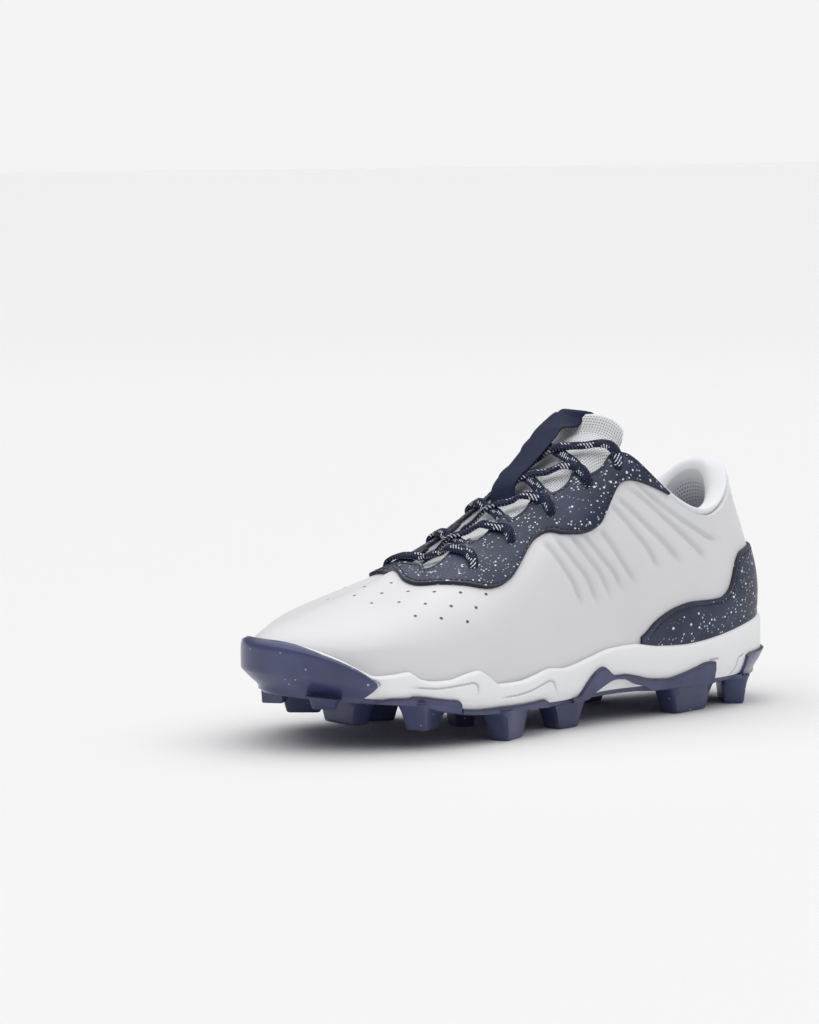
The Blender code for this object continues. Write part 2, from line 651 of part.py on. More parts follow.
TONGUE_DEPTH = UPPER_WALL + 2.5 * GAP
THROAT_TOP = 5.66           # u at the throat's top corners


def tongue_end(t, lift, narrow, depth):
    """A line across the tongue above the throat's corners."""
    line = over_bridge(THROAT_TOP, t * narrow, -depth)
    return line + np.array([0.0, 0.45, 0.9]) * lift


def tongue():
    """The padded tongue under the throat, from beneath the vamp to above the instep."""
    t = np.linspace(-1.3, 1.3, 13)
    rings = []
    for depth in (TONGUE_DEPTH, TONGUE_DEPTH + TONGUE_WALL):
        rows = [over_bridge(u, t, -depth) for u in (12.9, 12.2, 11.4, 10.6, 9.8, 9.0, 8.2, 7.5, 6.8)]
        rows += [over_bridge(u, t * narrow, -depth) for u, narrow in ((6.2, 0.86), (THROAT_TOP, 0.74))]
        for lift, narrow in ((0.4, 0.66), (0.8, 0.56), (1.0, 0.42)):
            rows.append(tongue_end(t, lift * TONGUE_OVER, narrow, depth))
        rings.append(np.stack(rows, 0))
    return add_tube("tongue", np.concatenate([rings[0], rings[1][:, ::-1]], 1))


COURSE_U = np.arange(4.5, 11.6, 0.06)[:, None]
COURSE_T = np.arange(-1.9, 1.91, 0.025)[None, :]
GROUND = bridge(COURSE_U, COURSE_T)
GROUND_NORMAL = over_bridge(COURSE_U, COURSE_T, 1.0) - GROUND


def drape(start, end, low, count):
    """Points and normals over the closed throat, straight in plan from one place to another.

    The course starts at one height, crosses the tongue and ends above the eyestay.
    """
    share = np.linspace(0, 1, count)
    plan = start[:2] + (end[:2] - start[:2]) * share[:, None]
    points, normals = [], []
    for place, done in zip(plan, share):
        far = np.hypot(*(GROUND[..., :2] - place).transpose(2, 0, 1))
        nearest = np.unravel_index(np.argmin(far), far.shape)
        beside = abs(COURSE_T[0, nearest[1]])
        height = np.interp(beside, [0.45, 0.80], [LACE_REST, OVER_EYESTAY])
        if done < 0.45 and low < LACE_REST:
            height = np.interp(done, [0, 0.4], [low, LACE_REST])
        normal = GROUND_NORMAL[nearest]
        points.append([*place, GROUND[nearest][2]] + normal * height)
        normals.append(normal)
    return np.array(points), np.array(normals)


def strip(name, points, normals, width, thickness):
    """A flat band with rounded edges along a course."""
    along = unit(np.gradient(points, axis=0))
    aside = unit(np.cross(along, normals))
    above = unit(np.cross(aside, along))
    outline = [(0.5, 0.22), (0.36, 0.5), (-0.36, 0.5), (-0.5, 0.22),
               (-0.5, -0.22), (-0.36, -0.5), (0.36, -0.5), (0.5, -0.22)]
    rings = [points + aside * width * a + above * thickness * b for a, b in outline]
    return add_tube(name, np.stack(rings, 1))


OVER_EYESTAY = OVERLAY_WALL + 2 * GAP + LACE_THICK / 2 + 0.0012
OVER_TONGUE = LACE_THICK / 2 + 2 * GAP - TONGUE_DEPTH
LACE_REST = 0.0012          # a lace's middle above the closed throat, where it crosses the tongue


def lace_ends(side, row):
    """Where a lace meets its eyelet from above, and where it comes up under the throat's edge."""
    u = EYELETS["u"][row]
    eyelet = wall(u if side > 0 else TURN - u, EYELETS["v"][row] + 0.03)
    if row == 0:
        return eyelet, None
    edge = UNDER_EDGE[row - 1]
    return eyelet, bridge(edge, 0.78 * side)


def lace_bar():
    """The straight bar between the front eyelets."""
    outer, inner = lace_ends(1, 0)[0], lace_ends(-1, 0)[0]
    return strip("lace_bar", *drape(outer, inner, OVER_EYESTAY, 13), LACE_WIDE, LACE_THICK)


def lace_cross(row):
    """One crossing: two laces from under one edge to the eyelet across, joined where they meet."""
    bands = []
    for side in (1, -1):
        eyelet = lace_ends(side, row)[0]
        start = lace_ends(-side, row)[1]
        course = drape(start, eyelet, OVER_TONGUE, 11)
        bands.append(strip(f"lace_cross_{row}" if side > 0 else f"lace_under_{row}", *course,
                           LACE_WIDE, LACE_THICK))
    combine(bands[0], [bands[1]], "UNION")
    return bands[0]


def tongue_strap():
    """The webbing over the tongue's top, held up where the laces pass beneath."""
    low, high = 8.62, THROAT_TOP
    u = np.linspace(low, high, 9)
    rest = STRAP_WALL / 2 + 2 * GAP - TONGUE_DEPTH
    over = LACE_THICK + 0.0026
    lifts = np.interp(np.linspace(0, 1, 9), [0, 0.13, 0.85, 1], [rest, over, over, rest + 0.0024])
    offset = np.linspace(-0.36, -0.16, 9)
    points = over_bridge(u, offset, lifts)
    ends = [tongue_end(offset[-1:], share * TONGUE_OVER, 1.0, TONGUE_DEPTH)[0] for share in (0.5, 0.95)]
    points = np.concatenate([points, np.array(ends) + np.array([-0.0003, -0.0008, 0.0019])])
    courses = np.append(u, [high, high])
    places = np.append(offset, offset[-1:].repeat(2))
    normals = over_bridge(courses, places, 1.0) - bridge(courses, places)
    return strip("tongue_strap", points, normals, STRAP_WIDE, STRAP_WALL)


RUBBER, FOAM = (0.075, 0.085, 0.20), (0.85, 0.86, 0.87)
LEATHER, NAVY = (0.76, 0.77, 0.79), (0.022, 0.032, 0.080)
MESH, LINING = (0.72, 0.74, 0.77), (0.66, 0.69, 0.74)

finish(outsole(), "clear_rubber", RUBBER, 0.35)
finish(midsole(), "white_foam", FOAM, 0.55)
finish(insole(), "lining", LINING, 0.9)
body = finish(upper(), "white_leather", LEATHER, 0.45)
stay = finish(eyestay(), "navy_overlay", NAVY, 0.5)
finish(heel_counter(), "navy_overlay", NAVY, 0.5)
finish(collar_pad(), "lining", LINING, 0.9)
finish(tongue(), "white_mesh", MESH, 0.85)
finish(tongue_strap(), "navy_webbing", NAVY, 0.6)
finish(lace_bar(), "navy_lace", NAVY, 0.8)
for crossing in range(1, len(EYELETS["u"])):
    finish(lace_cross(crossing), "navy_lace", NAVY, 0.8)

holes = punch("eyelet_holes", EYELETS["u"], EYELETS["v"], EYELET_SIZE, 8)
notches = punch("scallops", np.array(SCALLOPS), np.full(len(SCALLOPS), 1.0), SCALLOP_SIZE, 12)
for piece in (body, stay):
    combine(piece, [holes, notches], "DIFFERENCE")

# The whole shoe is set with its outline centred on the origin and its studs on the ground
shoe = bpy.data.objects.new("cleat_place", None)
collections["cutters"].objects.link(shoe)
bpy.context.view_layer.update()
graph = bpy.context.evaluated_depsgraph_get()
corners = []
for piece in collections["cleat"].objects:
    shape = piece.evaluated_get(graph).to_mesh()
    corners += [vertex.co.copy() for vertex in shape.vertices]
    piece.evaluated_get(graph).to_mesh_clear()
    piece.parent = shoe
corners = np.array(corners)
lowest, highest = corners.min(0), corners.max(0)
shoe.location = (-(lowest[0] + highest[0]) / 2, -(lowest[1] + highest[1]) / 2, -lowest[2])
for helper in collections["cutters"].objects:
    if helper is not shoe:
        helper.parent = shoe
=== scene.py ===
import bpy
import numpy as np
from mathutils import Matrix


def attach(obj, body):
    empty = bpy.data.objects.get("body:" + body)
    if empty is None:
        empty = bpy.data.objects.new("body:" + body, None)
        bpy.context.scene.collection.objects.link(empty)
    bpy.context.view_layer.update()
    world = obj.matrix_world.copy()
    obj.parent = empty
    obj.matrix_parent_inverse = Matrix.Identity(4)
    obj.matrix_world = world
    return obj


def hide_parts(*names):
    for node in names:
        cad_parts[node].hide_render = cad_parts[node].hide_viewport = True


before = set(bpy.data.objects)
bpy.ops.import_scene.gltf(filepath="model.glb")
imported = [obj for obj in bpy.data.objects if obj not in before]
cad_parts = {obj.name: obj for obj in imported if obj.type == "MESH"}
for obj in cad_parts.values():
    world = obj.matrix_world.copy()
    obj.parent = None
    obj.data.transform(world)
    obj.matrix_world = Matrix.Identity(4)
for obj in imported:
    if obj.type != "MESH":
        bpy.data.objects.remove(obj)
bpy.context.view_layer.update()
print("frame loaded")


# Named columns from rows of numbers
def table(names, rows):
    return dict(zip(names.split(), np.array(rows, dtype=float).T))


# Overall sizes; shift sets the shoe's outline on the origin
body = {
    "length": 0.298, "ballWidth": 0.100, "heelHeight": 0.084, "instepHeight": 0.096, "toeHeight": 0.0116,
    "studHeight": 0.0125, "toeSpring": 0.0130, "foamHeel": 0.0115, "rimHeight": 0.0200, "tuck": 0.0030,
    "upperWall": 0.0022, "foamWall": 0.0024, "toeFoamWall": 0.0016, "plateWall": 0.0022, "gap": 0.0003,
    "turn": 28, "bulgeAt": 0.22, "shift": (-0.001918, -0.004644, 0.0),
}
# The last, one row for each step from heel to toe at its widest line.
# at: share of the length.  out, inn: shares of the ball width.  wide_up: height, share of the toe height.
# lean: degrees from upright at the top line.  rise, reach: stiffness at the widest line and the top line.
last = table("at out inn wide_up lean rise reach", [
    (0.0120, 0.000, 0.000, 1.95, 8, 0.360, 0.30),
    (0.0300, 0.175, 0.170, 1.92, 9, 0.360, 0.30),
    (0.0790, 0.290, 0.280, 1.81, 10, 0.360, 0.30),
    (0.1680, 0.352, 0.318, 1.67, 12, 0.360, 0.30),
    (0.2750, 0.364, 0.305, 1.56, 22, 0.360, 0.30),
    (0.3760, 0.372, 0.285, 1.48, 33, 0.360, 0.32),
    (0.4530, 0.400, 0.290, 1.45, 40, 0.340, 0.34),
    (0.5300, 0.445, 0.330, 1.41, 46, 0.320, 0.36),
    (0.6070, 0.488, 0.395, 1.37, 52, 0.300, 0.38),
    (0.6850, 0.508, 0.450, 1.34, 56, 0.270, 0.40),
    (0.7580, 0.498, 0.470, 1.27, 60, 0.230, 0.42),
    (0.8260, 0.450, 0.440, 1.19, 64, 0.190, 0.44),
    (0.8800, 0.365, 0.305, 1.09, 67, 0.150, 0.47),
    (0.9310, 0.235, 0.140, 1.01, 69, 0.120, 0.50),
    (0.9570, 0.035, -0.035, 0.98, 70, 0.105, 0.50),
])
# Its top line round the collar and the throat
top = table("at out inn", [
    (0.066, 0.000, 0.000), (0.078, 0.140, 0.140), (0.112, 0.255, 0.260), (0.176, 0.330, 0.310),
    (0.250, 0.335, 0.310), (0.320, 0.310, 0.300), (0.356, 0.275, 0.280), (0.403, 0.220, 0.240),
    (0.453, 0.170, 0.212), (0.510, 0.135, 0.198), (0.560, 0.110, 0.192), (0.608, 0.095, 0.190),
    (0.645, 0.085, 0.175), (0.662, 0.015, 0.130), (0.668, -0.060, 0.060),
])
collarUp = np.array([1.000, 0.970, 0.850, 0.765, 0.880])
throatUp = np.array([0.955, 0.985, 0.915, 0.830, 0.730, 0.650, 0.570, 0.515, 0.500, 0.500])
innerDrop = np.array([0.000, 0.010, 0.040, 0.060, 0.070, 0.072, 0.068, 0.055, 0.028, 0.000])
# under: the foam's underside, share of the toe spring.  bed: thickness, share of the heel foam.
sole = table("at under bed", [
    (0.000, 0.10, 1.00), (0.100, 0.00, 1.00), (0.250, 0.00, 0.95), (0.400, 0.02, 0.75),
    (0.500, -0.08, 0.60), (0.600, 0.00, 0.52), (0.690, 0.05, 0.50), (0.740, 0.25, 0.46),
    (0.790, 0.52, 0.42), (0.860, 0.68, 0.44), (0.930, 0.86, 0.50), (1.000, 1.15, 0.50),
])
# The foam's waved top edge, share of the rim height above its base
rim = table("at up", [
    (0.000, 1.38), (0.018, 1.36), (0.034, 1.32), (0.058, 1.25), (0.087, 1.175), (0.125, 1.07),
    (0.165, 0.965), (0.200, 0.90), (0.235, 0.865), (0.290, 0.90), (0.340, 1.00), (0.390, 0.97),
    (0.432, 0.84), (0.497, 0.68), (0.532, 0.725), (0.560, 0.64), (0.604, 0.545), (0.641, 0.55),
    (0.668, 0.80), (0.684, 0.905), (0.705, 0.86), (0.740, 0.755), (0.765, 0.76), (0.784, 0.83),
    (0.803, 1.00), (0.825, 0.96), (0.848, 0.94), (0.868, 1.08), (0.888, 1.27), (0.908, 1.43),
    (0.925, 1.53), (0.940, 1.60), (0.951, 1.63), (0.960, 1.64),
])
# out: how far the plate reaches under the foam's edge.  tuck: how far that edge draws in.
edge = table("at out tuck", [
    (0.000, 1, 0.30), (0.058, 1, 0.28), (0.100, 1, 0.12), (0.125, 0, 0.05), (0.165, 0, 0.00),
    (0.188, 1, 0.00), (0.300, 1, 0.00), (0.330, 0, 0.00), (0.430, 0, 0.00), (0.455, 1, 0.00),
    (0.497, 0, 0.00),
    (0.803, 0, 0.00), (0.848, 0, 0.14), (0.868, 0.4, 0.26), (0.888, 1, 0.40), (0.925, 1, 0.54),
    (0.960, 1, 0.60),
])


# Smooth values through rows: cubic pieces whose slopes come from the rows beside them
def flow(rows, column, at):
    x, y = rows["at"], rows[column]
    slope = np.gradient(y, x)
    return pieces(x, y, slope, at)


# Values through rows without overshoot: each slope is the harmonic mean of its two neighbours
def smooth(x, y, at):
    x, y = np.asarray(x, float), np.asarray(y, float)
    step = np.diff(y) / np.diff(x)
    near, far = step[:-1], step[1:]
    same = near * far > 0
    mean = np.where(same, 2 * near * far / np.where(same, near + far, 1), 0)
    return pieces(x, y, np.concatenate([step[:1], mean, step[-1:]]), at)


# A cubic Hermite curve through rows with known slopes, a share t past each cell's first row
def cubic(y, slope, cell, step, t):
    return (y[cell] * (2 * t**3 - 3 * t**2 + 1) + y[cell + 1] * (3 * t**2 - 2 * t**3)
            + step * slope[cell] * (t**3 - 2 * t**2 + t) + step * slope[cell + 1] * (t**3 - t**2))


# That curve at places along the rows
def pieces(x, y, slope, at):
    at = np.clip(at, x[0], x[-1])
    cell = np.clip(np.searchsorted(x, at) - 1, 0, len(x) - 2)
    step = x[cell + 1] - x[cell]
    return cubic(y, slope, cell, step, (at - x[cell]) / step)


# A smooth line through places, evenly stepped by length: the same curve for each coordinate
def thread(places, count):
    places = np.asarray(places, float)
    flat = places.reshape(len(places), -1)
    at = np.concatenate([[0], np.cumsum(np.linalg.norm(np.diff(flat, axis=0), axis=1))])
    slope = np.gradient(flat, at, axis=0)
    want = np.linspace(0, at[-1], count)
    cell = np.clip(np.searchsorted(at, want) - 1, 0, len(at) - 2)
    step = (at[cell + 1] - at[cell])[:, None]
    line = cubic(flat, slope, cell, step, (want - at[cell])[:, None] / step)
    return line.reshape((count,) + places.shape[1:])


foamBase = body["studHeight"] + body["plateWall"] + body["gap"]
seat = 1.4 * body["gap"]        # how far a layer's inner face stands off the upper


# Heights along the shoe: each is the base plus a share of one size
def underHeight(at):
    return foamBase + body["toeSpring"] * flow(sole, "under", at)


def bedHeight(at):
    return underHeight(at) + body["foamHeel"] * flow(sole, "bed", at)


def rimHeight(at):
    return foamBase + body["rimHeight"] * smooth(rim["at"], rim["up"], at)


# Values once round the shoe from its outer and inner sides
def around(outer, inner):
    return np.concatenate([outer, inner[-2:0:-1]])


# Closed cubic B-spline through evenly spaced values
def loopSpline(values, at):
    count = len(values)
    spread = (4 * np.eye(count) + np.roll(np.eye(count), 1, 0) + np.roll(np.eye(count), -1, 0)) / 6
    control = np.linalg.solve(spread, values)
    cell = np.floor(at).astype(int)
    t = at - cell
    weights = ((1 - t)**3, 3 * t**3 - 6 * t**2 + 4, -3 * t**3 + 3 * t**2 + 3 * t + 1, t**3)
    return sum(w / 6 * control[(cell + k - 1) % count] for k, w in enumerate(weights))


# A line once round the shoe from its table and heights
def lastLine(rows, outerUp, innerUp, u):
    x = loopSpline(around(rows["out"], -rows["inn"]) * body["ballWidth"], u)
    y = body["length"] / 2 - loopSpline(around(rows["at"], rows["at"]) * body["length"], u)
    z = loopSpline(around(outerUp, innerUp), u)
    return np.stack([x, y, z], -1)


wideUp = bedHeight(last["at"]) + last["wide_up"] * body["toeHeight"]
outerTop, innerTop = (
    bedHeight(0.2) + np.concatenate([collarUp * body["heelHeight"], (throatUp - drop) * body["instepHeight"]])
    for drop in (0, innerDrop))


# A direction: the vector over its length
def unit(vector):
    return vector / np.maximum(np.linalg.norm(vector, axis=-1, keepdims=True), 1e-12)


# The last once round at its widest
def wideLine(u):
    return lastLine(last, wideUp, wideUp, u)


# Level direction out of the shoe: square to its widest line
def outward(u):
    along = wideLine(u + 0.02) - wideLine(u - 0.02)
    return unit(np.stack([-along[..., 1], along[..., 0], 0 * u], -1))


# Cubic arc from a to d, with b and c as its handles
def bezier(a, b, c, d, t):
    t = t[..., None]
    return a * (1 - t)**3 + 3 * b * t * (1 - t)**2 + 3 * c * t**2 * (1 - t) + d * t**3


# Outer face of the upper: two cubic arcs, from the bed to the widest line and on to the top line
def wall(u, v):
    u, v = np.broadcast_arrays(np.asarray(u, float), np.asarray(v, float))
    wide = wideLine(u)
    out = outward(u)
    crest = lastLine(top, outerTop, innerTop, u)
    foot = wide - out * body["tuck"]
    foot[..., 2] = bedHeight(0.5 - foot[..., 1] / body["length"]) + body["gap"]
    up = np.array([0.0, 0.0, 1.0])
    lift = up * (wide - foot)[..., 2:]
    lower = bezier(foot, foot + out * body["tuck"] * 0.5 + lift * 0.1, wide - lift * 0.55, wide,
                   np.clip(v / body["bulgeAt"], 0, 1))
    span = crest - wide
    inward = span * np.array([1.0, 1.0, 0.0]) - out * 0.12 * body["ballWidth"]
    lean = np.radians(loopSpline(around(last["lean"], last["lean"]), u))[..., None]
    arrive = up * np.cos(lean) + unit(inward) * np.sin(lean)
    far = np.linalg.norm(span, axis=-1, keepdims=True)
    rise = loopSpline(around(last["rise"], last["rise"]), u)[..., None] * far
    reach = loopSpline(around(last["reach"], last["reach"]), u)[..., None] * far
    t = (v - body["bulgeAt"]) / (1 - body["bulgeAt"])
    upper = bezier(wide, wide + up * rise, crest - arrive * reach, crest, np.clip(t, 0, 1))
    beyond = arrive * far * np.maximum(t - 1, 0)[..., None]
    return np.where((v < body["bulgeAt"])[..., None], lower, upper) + beyond


# Direction off the wall: square to its steps in u and in v
def wallNormal(u, v):
    beside = wall(u + 0.01, v) - wall(u - 0.01, v)
    above = wall(u, v + 0.01) - wall(u, v - 0.01)
    return unit(np.cross(above, beside))


# The upper's face moved out along its normal
def skin(u, v, out):
    return wall(u, v) + wallNormal(u, v) * np.asarray(out, float)[..., None]


# v where the wall reaches a height, read off a fine column
def shareAtHeight(u, height):
    trial = np.linspace(0, 0.7, 71)
    heights = wall(u[:, None], trial[None, :])[..., 2]
    return np.array([np.interp(h, row, trial) for h, row in zip(height, heights)])


# Place along the shoe beside u, as a share of the length from the heel
def station(u):
    return 0.5 - wideLine(u)[..., 1] / body["length"]


# u on one side where the widest line passes a station
def turnAt(at, side):
    trial = np.linspace(0, body["turn"] / 2, 281)
    u = np.interp(at, station(trial if side > 0 else body["turn"] - trial), trial)
    return u if side > 0 else body["turn"] - u


# Points at a height outside the upper: off its face above the widest line, off that line below it
def beside(u, height, out):
    wide = wideLine(u)
    level = wide + outward(u) * out[:, None]
    level[:, 2] = height
    above = skin(u, shareAtHeight(u, height), out)
    share = np.clip((height - wide[:, 2]) / 0.0008, 0, 1)[:, None]
    return level * (1 - share) + above * share


# The foam's side outside the upper: a swelling profile with height, drawn in at heel and toe
def foamOut(u, height):
    at = station(u)
    thick = body["gap"] + np.interp(at, [0.828, 0.878], [body["foamWall"], body["toeFoamWall"]])
    t = (height - underHeight(at)) / (rimHeight(at) - underHeight(at))
    tuck = body["foamHeel"] * smooth(edge["at"], edge["tuck"], at)
    swell = smooth([-1, 0, 0.2, 0.38, 0.72, 0.9, 1, 2], [0.5, 0.55, 0.95, 1.15, 1.2, 1.12, 1.0, 1.0], t)
    return thick * swell - tuck * np.clip(1 - t / 0.38, 0, 1)


# Mesh building
# Corners of each square face of a grid of points, as whole arrays
def squares(rows, columns, loopRows, loopColumns):
    i = np.arange(rows if loopRows else rows - 1)[:, None]
    j = np.arange(columns if loopColumns else columns - 1)[None, :]
    here, after = i * columns, (i + 1) % rows * columns
    beyond = (j + 1) % columns
    corners = np.broadcast_arrays(here + j, here + beyond, after + beyond, after + j)
    return np.stack(corners, -1).reshape(-1, 4)


# A closed shell from a grid, turned outwards by the sign of its volume; marks are values at its points
def shellOf(grid, loopRows=False, loopColumns=False, **marks):
    rows, columns = grid.shape[:2]
    faces = squares(rows, columns, loopRows, loopColumns)
    caps = []
    if loopColumns and not loopRows:
        caps = [np.arange(columns)[::-1], (rows - 1) * columns + np.arange(columns)]
    points = grid.reshape(-1, 3)
    middle = points.mean(0)
    a, b, c, d = (points[faces[:, k]] - middle for k in range(4))
    volume = np.sum(a * (np.cross(b, c) + np.cross(c, d)))
    if volume < 0:
        faces = faces[:, ::-1]
        caps = [cap[::-1] for cap in caps]
    flat = {name: np.broadcast_to(value, (rows, columns)).ravel() for name, value in marks.items()}
    return {"points": points, "faces": faces, "caps": caps, "marks": flat}


# Copies of a small closed form at many places: centre plus its three directions
def copies(form, faces, centres, along, aside, above):
    points = (centres[:, None] + form[None, :, :1] * along[:, None] + form[None, :, 1:2] * aside[:, None]
              + form[None, :, 2:] * above[:, None])
    offsets = np.arange(len(centres))[:, None, None] * len(form)
    return {"points": points.reshape(-1, 3), "faces": (faces[None] + offsets).reshape(-1, 4), "caps": [],
            "marks": {}}


# One object from its shells, with its material and body; the solids it stands for, if any, are hidden
def assemble(name, shells, material, nodes=(), sharp=50):
    points, faces, start = [], [], 0
    for item in shells:
        points.append(item["points"])
        faces += (item["faces"] + start).tolist()
        faces += [(cap + start).tolist() for cap in item["caps"]]
        start += len(item["points"])
    points = np.concatenate(points) + np.array(body["shift"])
    mesh = bpy.data.meshes.new(name)
    mesh.from_pydata(points.tolist(), [], faces)
    for mark in {key for item in shells for key in item["marks"]}:
        values = [item["marks"].get(mark, np.zeros(len(item["points"]))) for item in shells]
        attribute = mesh.attributes.new(mark, "FLOAT", "POINT")
        attribute.data.foreach_set("value", np.concatenate(values).astype(np.float32))
    mesh.materials.append(material)
    mesh.shade_smooth()
    mesh.set_sharp_from_angle(angle=np.radians(sharp))
    obj = bpy.data.objects.new(name, mesh)
    bpy.context.scene.collection.objects.link(obj)
    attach(obj, "root")
    if nodes:
        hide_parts(*nodes)
    print(name, len(faces), "faces")
    return obj


# Materials
# A socket of a shader tree; arithmetic on it adds Math nodes
class Wire:
    def __init__(self, tree, socket):
        self.tree = tree
        self.socket = socket

    def math(self, operation, *others):
        node = self.tree.nodes.new("ShaderNodeMath")
        node.operation = operation
        for entry, value in zip(node.inputs, (self, *others)):
            feed(self.tree, entry, value)
        return Wire(self.tree, node.outputs[0])

    def __add__(self, other):
        return self.math("ADD", other)

    def __sub__(self, other):
        return self.math("SUBTRACT", other)

    def __mul__(self, other):
        return self.math("MULTIPLY", other)

    def __truediv__(self, other):
        return self.math("DIVIDE", other)

    def __rsub__(self, other):
        return self * -1 + other

    __radd__ = __add__
    __rmul__ = __mul__

    # 0 below low, 1 above high, smooth between
    def step(self, low, high):
        node = self.tree.nodes.new("ShaderNodeMapRange")
        node.interpolation_type = "SMOOTHSTEP"
        for key, value in (("Value", self), ("From Min", low), ("From Max", high)):
            feed(self.tree, node.inputs[key], value)
        return Wire(self.tree, node.outputs["Result"])


# Joins a wire to a socket or sets its number
def feed(tree, entry, value):
    if isinstance(value, Wire):
        tree.links.new(value.socket, entry)
    elif isinstance(value, (tuple, list)) and len(value) == 3 and entry.type == "RGBA":
        entry.default_value = (*value, 1.0)
    else:
        entry.default_value = value


# A material being painted
class Paint:
    def __init__(self, name, roughness, **values):
        self.material = bpy.data.materials.new(name)
        self.material.use_nodes = True
        self.tree = self.material.node_tree
        self.shader = self.tree.nodes["Principled BSDF"]
        self.shader.inputs["Roughness"].default_value = roughness
        for key, value in values.items():
            feed(self.tree, self.shader.inputs[key.replace("_", " ")], value)

    # Any node: its settings by attribute name, its inputs by label, and the output asked for
    def node(self, kind, output, settings=None, **inputs):
        made = self.tree.nodes.new("ShaderNode" + kind)
        for key, value in (settings or {}).items():
            setattr(made, key, value)
        for key, value in inputs.items():
            feed(self.tree, made.inputs[key.replace("_", " ")], value)
        return Wire(self.tree, made.outputs[output])

    # Object coordinates, the same as the shoe's own
    def place(self):
        return self.node("TexCoord", "Object")

    # A number stored at the mesh's points
    def mark(self, name):
        return self.node("Attribute", "Fac", {"attribute_name": name})

    def noise(self, scale, detail=2):
        return self.node("TexNoise", "Fac", Vector=self.place(), Scale=scale, Detail=detail)

    # Colour a, turning to b where the share is 1
    def mix(self, share, a, b):
        made = self.tree.nodes.new("ShaderNodeMix")
        made.data_type = "RGBA"
        for index, value in ((0, share), (6, a), (7, b)):
            feed(self.tree, made.inputs[index], value)
        return Wire(self.tree, made.outputs[2])

    # Least distance from the surface to any of the places
    def nearest(self, places):
        best = None
        here = self.place()
        for spot in places:
            made = self.tree.nodes.new("ShaderNodeVectorMath")
            made.operation = "DISTANCE"
            feed(self.tree, made.inputs[0], here)
            made.inputs[1].default_value = spot
            away = Wire(self.tree, made.outputs["Value"])
            best = away if best is None else best.math("MINIMUM", away)
        return best

    # White flecks: cells of a random pattern whose middle lies closer than a random radius
    def flecks(self, scale, size, amount):
        made = self.tree.nodes.new("ShaderNodeTexVoronoi")
        feed(self.tree, made.inputs["Vector"], self.place())
        made.inputs["Scale"].default_value = scale
        chance = self.node("SeparateColor", "Red", Color=Wire(self.tree, made.outputs["Color"]))
        radius = (chance - (1 - amount)) / amount
        reach = Wire(self.tree, made.outputs["Distance"]) / size
        return (radius.math("MAXIMUM", 0.0).math("POWER", 0.7) - reach).step(0.0, 0.12)

    # Finish: colour, relief in metres and any other varying input
    def done(self, colour, relief=None, **varying):
        feed(self.tree, self.shader.inputs["Base Color"], colour)
        for key, value in varying.items():
            feed(self.tree, self.shader.inputs[key.replace("_", " ")], value)
        if relief is not None:
            bump = self.node("Bump", "Normal", Height=relief, Strength=1.0, Distance=1.0)
            feed(self.tree, self.shader.inputs["Normal"], bump)
        return self.material


# Detail placed by u round the shoe and v up its wall
holes = {
    "radius": 0.00075,
    "spots": [(13.16, 0.888), (12.04, 0.808), (10.76, 0.696), (9.88, 0.624), (9.08, 0.568),
              (13.96, 0.848), (12.96, 0.816), (11.88, 0.712), (10.76, 0.608), (9.96, 0.544), (9.24, 0.504),
              (13.68, 0.784), (12.80, 0.736), (10.80, 0.520), (10.08, 0.472), (9.36, 0.432)],
}
eyelets = {"u": np.array([9.84, 8.84, 7.76, 6.68, 5.70]), "v": np.array([0.752, 0.808, 0.840, 0.888, 0.925]),
           "radius": 0.0023}
spotsOut = np.array(holes["spots"])
spotsIn = spotsOut[spotsOut[:, 0] < 13.5] * [-1, 1] + [body["turn"], 0]
holePlaces = wall(*np.concatenate([spotsOut, spotsIn]).T) + np.array(body["shift"])
eyeletPlaces = np.concatenate([wall(eyelets["u"], eyelets["v"]),
                               wall(body["turn"] - eyelets["u"], eyelets["v"])]) + np.array(body["shift"])


# White leather: cloudy white, painted shade in the rib creases and in the perforation holes, fine grain in
# relief
def leatherPaint():
    look = {"colour": (0.76, 0.76, 0.785), "shade": (0.70, 0.705, 0.73), "hole": (0.08, 0.08, 0.09),
            "crease": (0.47, 0.48, 0.51)}
    paint = Paint("cleat_leather", 0.42, Specular_IOR_Level=0.45)
    cloud = paint.noise(28.0)
    # Painted shade: near-black discs where the perforation holes are, standing for the dark inside of each
    # hole
    pit = 1 - paint.nearest(holePlaces).step(holes["radius"] * 0.7, holes["radius"] * 1.15)
    mottled = paint.mix(cloud.step(0.35, 0.75) * 0.35, look["colour"], look["shade"])
    # Painted shade: grey mixed in along the rib creases by their depth
    creaseShaded = paint.mix(paint.mark("crease").step(0.2, 1.0) * 0.42, mottled, look["crease"])
    grain = paint.noise(2600.0, 3) * 0.00003 + paint.noise(700.0) * 0.00002
    return paint.done(paint.mix(pit, creaseShaded, look["hole"]), grain - pit * 0.0006,
                      Roughness=cloud * 0.10 + 0.36)
